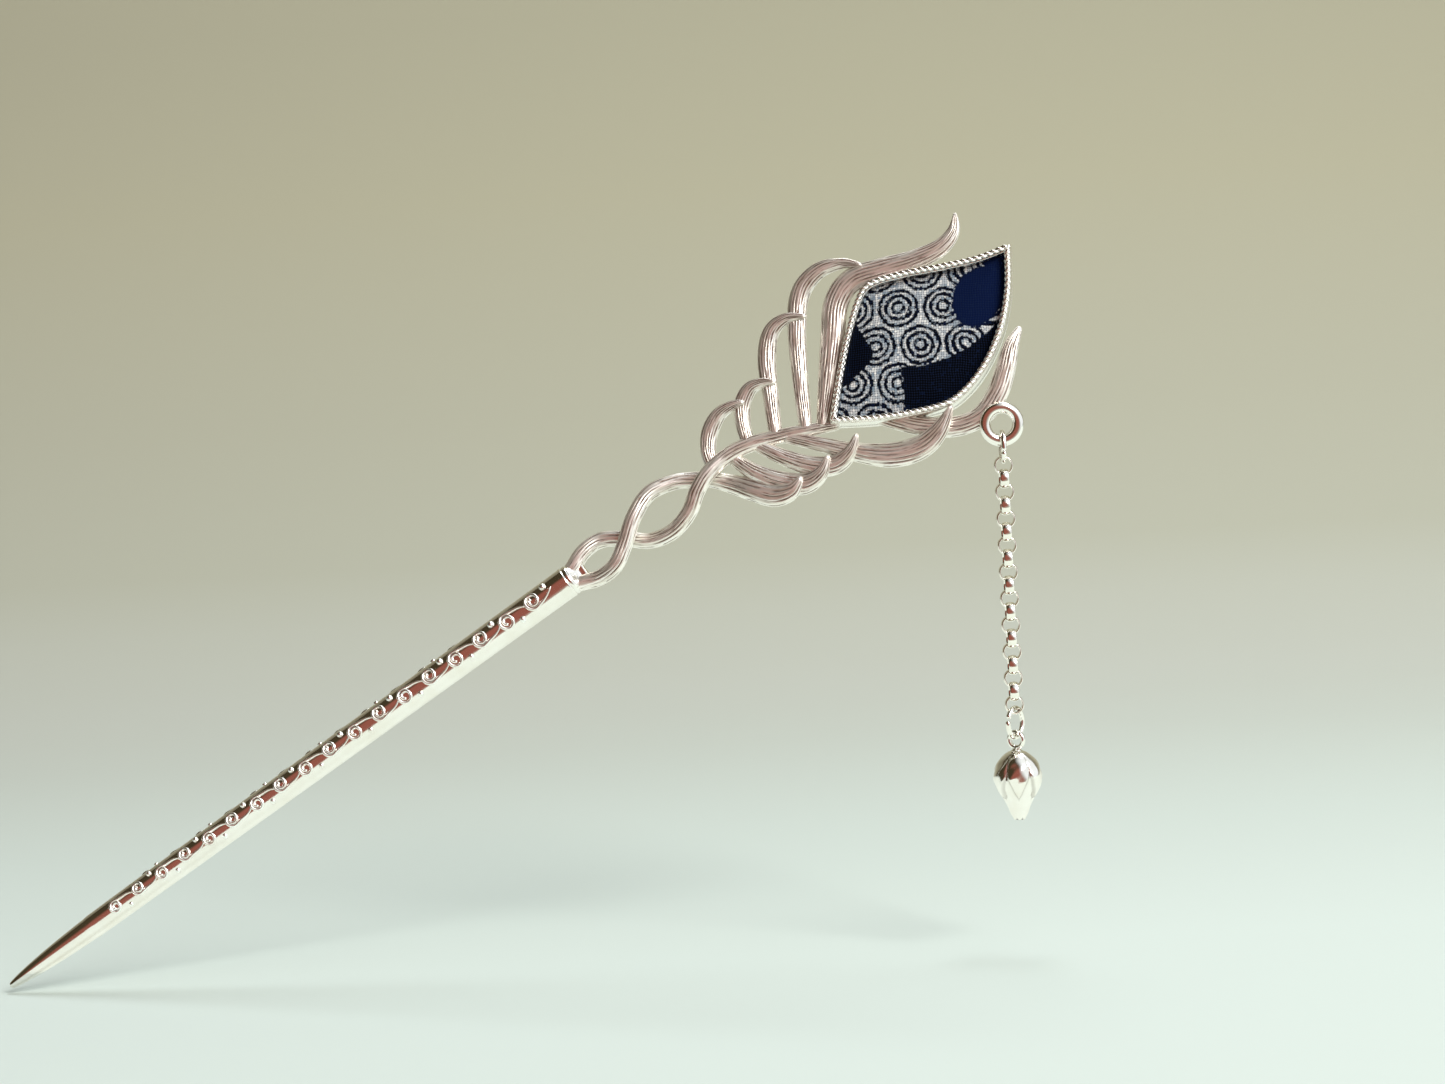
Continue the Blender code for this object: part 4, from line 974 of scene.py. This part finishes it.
def make_bud():
    low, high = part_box("bud")
    middle = np.array(((low.x + high.x) / 2, (low.y + high.y) / 2, 0.0))
    length = (high.z - low.z) / MM
    share = np.concatenate((np.linspace(0.0, 0.12, 12)[:-1], np.linspace(0.12, 1.0, 150)))
    line = smooth_line(BUD_KNOTS, 8)
    radius = np.interp(share, line[:, 0], line[:, 1])[:, None] * BUD_RADIUS
    sides = 216
    turn = (TAU * np.arange(sides) / sides)[None, :]
    spacing = TAU / PETALS
    # Outer petals, broad at the stem and narrowing downwards over the inner ones between them.
    off = np.abs((turn + spacing / 2) % spacing - spacing / 2)
    down = share[:, None]
    spread = np.interp(down, (0.0, 0.26, 0.36, 0.50, 0.62, 0.70, 1.0), (0.6, 0.56, 0.46, 0.30, 0.14, -0.05, -0.6))
    edge = np.clip((off - spread) / 0.09 + 0.5, 0.0, 1.0)
    edge = edge * edge * (3 - 2 * edge)
    outer = 1.015 - 0.045 * (off / (spacing / 2)) ** 2 * np.clip(4 * down, 0, 1)
    inner_off = spacing / 2 - off
    inner = 0.90 - 0.05 * (inner_off / (spacing / 2)) ** 1.5 + 0.012 * np.cos(inner_off * 9)
    seam = np.exp(-((off - spacing / 2) / 0.03) ** 2) * np.clip((0.36 - down) / 0.1, 0.0, 1.0)
    shape = outer * (1 - edge) + inner * edge - 0.035 * seam * np.clip(6 * down, 0, 1)
    ridge = 0.018 * np.exp(-((off / 0.05) ** 2)) * np.clip((down - 0.3) * 3, 0.0, 1.0)
    lumps = 0.026 * np.sin(5 * turn + 9 * down) * np.sin(17 * down + 2 * np.cos(turn))
    lumps = lumps * np.clip(5 * down, 0, 1)
    r = radius * (shape + ridge + lumps)
    lip = np.clip((down - 0.93) / 0.07, 0.0, 1.0) * 0.35 * (off / (spacing / 2)) ** 2
    z = high.z / MM - down * length + lip
    rings = np.stack((r * np.cos(turn), r * np.sin(turn), np.broadcast_to(z, r.shape)), -1)
    # The groove mark darkens the colour beside the outer petals' edges, along the seams between them and inside the
    # mouth.
    crease = 0.55 * np.exp(-((off - spread - 0.02) / 0.06) ** 2) * np.clip((down - 0.2) * 8, 0, 1)
    crease = crease * (down < 0.72) + 0.6 * seam
    mouth = []
    for factor, depth in ((0.80, -0.02), (0.66, 0.1), (0.55, 0.45), (0.40, 0.8)):
        loop = rings[-1].copy()
        loop[:, :2] *= factor
        loop[:, 2] = low.z / MM + depth
        mouth.append(loop)
    rings = np.concatenate((rings, np.array(mouth)))
    crease = np.concatenate((crease, np.ones((4, sides)) * 0.8))
    spin = Matrix.Rotation(-LOWER_RING_TURN, 3, "Z")
    rings = rings @ np.array(spin).T * MM + middle
    build("lotus_bud", [skin(rings, marks={"groove": np.clip(crease, 0, 1)})], BUD_SILVER, "drop",
          ["bud"])
    eye_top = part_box("bud_eye")[1].z
    axis = (math.sin(LOWER_RING_TURN), math.cos(LOWER_RING_TURN), 0.0)
    eye_middle = np.array((middle[0], middle[1], eye_top - sum(BUD_EYE) * MM))
    eye = ring(eye_middle, axis, round_section(*BUD_EYE, 20, 1.15), 48)
    neck_top = eye_middle[2] / MM - BUD_EYE[0]
    neck = []
    around = TAU * np.arange(32) / 32
    for z, r in ((0.1, 0.30), (-0.1, 0.42), (-0.28, 0.62), (-0.42, 0.82), (-0.6, 0.9), (-0.9, 0.7)):
        neck.append(np.stack((r * np.cos(around), r * np.sin(around), np.full(32, neck_top + z)), -1))
    neck = np.array(neck) * MM + middle
    parts = [(*part[:3], {"groove": np.zeros(len(part[0]))}) for part in (eye, skin(neck))]
    build("bud_loop", parts, BUD_SILVER, "drop", ["bud_eye"])


# ---- stage, light and camera ----------------------------------------------------------
CAMERA_RISE = math.radians(3.0)
CAMERA_ROLL = math.radians(2.95)
CAMERA_DISTANCE = 0.399
CAMERA_LENS = 69.8
SEAM_OFFSET = (-0.02116, -0.0051)   # where the seam stands beside the picture's middle, m
# The paper's colour with painted shade, from the floor (0) through the bend to the wall (1): darker and more olive
# toward the wall.
PAPER_TONES_AND_SHADE = (
    (0.0, (0.625, 0.71, 0.675)),
    (0.11, (0.585, 0.66, 0.62)),
    (0.32, (0.515, 0.545, 0.49)),
    (0.46, (0.455, 0.47, 0.385)),
    (0.65, (0.437, 0.444, 0.35)),
    (0.83, (0.426, 0.423, 0.31)),
    (1.0, (0.40, 0.40, 0.295)),
)


def make_stage():
    """A pale floor that sweeps up into a backdrop."""
    floor_z = cad_box[0].z - 0.0008
    bend = np.linspace(0.1, 1.57, 16)
    depth = np.concatenate((np.linspace(-0.13, 0.25, 12), 0.25 + 0.45 * np.sin(bend), [0.705]))
    rise = np.concatenate((np.zeros(12), 0.45 * (1 - np.cos(bend)), [1.5]))
    columns = 9
    points = [
        (x, y, floor_z + z) for y, z in zip(depth, rise) for x in np.linspace(-1.6, 1.7, columns)
    ]
    mesh = bpy.data.meshes.new("floor_sweep")
    mesh.from_pydata(points, [], grid_faces(len(depth), columns, False, False)[:, ::-1].tolist())
    mesh.shade_smooth()
    made, tree, shader = blank_material("pale_paper")
    place = node(tree, "ShaderNodeTexCoord")
    split = node(tree, "ShaderNodeSeparateXYZ")
    tree.links.new(place.outputs["Object"], split.inputs["Vector"])
    # Painted shade: the ramp darkens the paper from the floor up the bend into the wall.
    sweep = node(tree, "ShaderNodeValToRGB")
    ramp = sweep.color_ramp
    ramp.elements[0].color = (*PAPER_TONES_AND_SHADE[0][1], 1.0)
    ramp.elements[1].color = (*PAPER_TONES_AND_SHADE[-1][1], 1.0)
    for at, colour in PAPER_TONES_AND_SHADE[1:-1]:
        ramp.elements.new(at).color = (*colour, 1.0)
    back = ranged(tree, split.outputs["Y"], 0.0, 0.5, 0.0, 0.5)
    up = ranged(tree, split.outputs["Z"], 0.0, 0.5, floor_z + 0.02, floor_z + 0.22)
    tree.links.new(math_node(tree, "ADD", back, up), sweep.inputs["Fac"])
    tree.links.new(sweep.outputs["Color"], shader.inputs["Base Color"])
    shader.inputs["Roughness"].default_value = 0.9
    shader.inputs["Specular IOR Level"].default_value = 0.1
    mesh.materials.append(made)
    floor = bpy.data.objects.new("floor_sweep", mesh)
    bpy.context.scene.collection.objects.link(floor)


def area_light(name, place, aim, size, power, colour):
    light = bpy.data.lights.new(name, "AREA")
    light.shape = "RECTANGLE"
    light.size, light.size_y = size
    light.energy = power
    light.color = colour
    obj = bpy.data.objects.new(name, light)
    obj.location = place
    obj.rotation_euler = (Vector(aim) - Vector(place)).to_track_quat("-Z", "Y").to_euler()
    bpy.context.scene.collection.objects.link(obj)
    return obj


def toward(tree, vector, direction, start, stop):
    """Rises from 0 to 1 as the vector turns toward the direction; start and stop are cosines."""
    made = node(tree, "ShaderNodeVectorMath", operation="DOT_PRODUCT")
    tree.links.new(vector, made.inputs[0])
    made.inputs[1].default_value = Vector(direction).normalized()
    eased = node(tree, "ShaderNodeMapRange", interpolation_type="SMOOTHSTEP")
    tree.links.new(made.outputs["Value"], eased.inputs["Value"])
    eased.inputs["From Min"].default_value = start
    eased.inputs["From Max"].default_value = stop
    return eased.outputs["Result"]


def make_light():
    aim = (0.07, 0.0, 0.04)
    floor_z = cad_box[0].z
    area_light("window", (0.25, 0.35, 1.0), aim, (0.6, 0.4), 4.5, (0.93, 0.97, 1.0))
    area_light("sun", (0.59, -0.62, 0.68), aim, (0.45, 0.45), 8.5, (1.0, 0.98, 0.93))
    under = (0.14, 0.05, floor_z + 0.002)
    bounce = area_light("bounce", under, (under[0], under[1], 1.0), (0.80, 0.36), 0.20, (1.0, 0.94, 0.78))
    bounce.visible_camera = False
    world = bpy.data.worlds.new("soft_room")
    world.use_nodes = True
    tree = world.node_tree
    back = tree.nodes["Background"]
    look = node(tree, "ShaderNodeTexCoord").outputs["Generated"]
    below_right = (0.545, 0.0, -0.839)
    dark_left = (0.055, 0.042, 0.022)
    room = mixed(tree, toward(tree, look, (-0.14, -0.96, 0.22), 0.68, 0.90), dark_left, (0.31, 0.10, 0.072))
    room = mixed(tree, toward(tree, look, below_right, 0.0, 1.0), room, (0.92, 0.94, 0.82))
    room = mixed(tree, toward(tree, look, (0.80, -0.20, 0.56), 0.42, 0.82), room, (1.0, 1.05, 1.08))
    seen = node(tree, "ShaderNodeLightPath").outputs["Is Camera Ray"]
    room = mixed(tree, seen, room, (0.72, 0.74, 0.68))
    tree.links.new(room, back.inputs["Color"])
    back.inputs["Strength"].default_value = 1.0
    bpy.context.scene.world = world
    bpy.context.scene.view_settings.view_transform = "Standard"


def make_camera():
    camera = bpy.data.objects.new("camera", bpy.data.cameras.new("camera"))
    bpy.context.scene.collection.objects.link(camera)
    look = Vector((0.0, math.cos(CAMERA_RISE), -math.sin(CAMERA_RISE)))
    level = Vector((1.0, 0.0, 0.0))
    upright = level.cross(look)
    right = level * math.cos(CAMERA_ROLL) - upright * math.sin(CAMERA_ROLL)
    up = level * math.sin(CAMERA_ROLL) + upright * math.cos(CAMERA_ROLL)
    seam = ALONG * (GRIP_FROM_SEAM * MM)
    place = seam - look * CAMERA_DISTANCE - right * SEAM_OFFSET[0] - up * SEAM_OFFSET[1]
    turn = Matrix((right, up, -look)).transposed().to_4x4()
    camera.matrix_world = Matrix.Translation(place) @ turn
    camera.data.lens = CAMERA_LENS
    camera.data.sensor_width = 36.0
    camera.data.clip_start = 0.01
    bpy.context.scene.camera = camera


make_camera()
make_shaft()
make_relief()
make_yoke()
make_feather()
make_setting()
make_chain()
make_bud()
make_stage()
make_light()
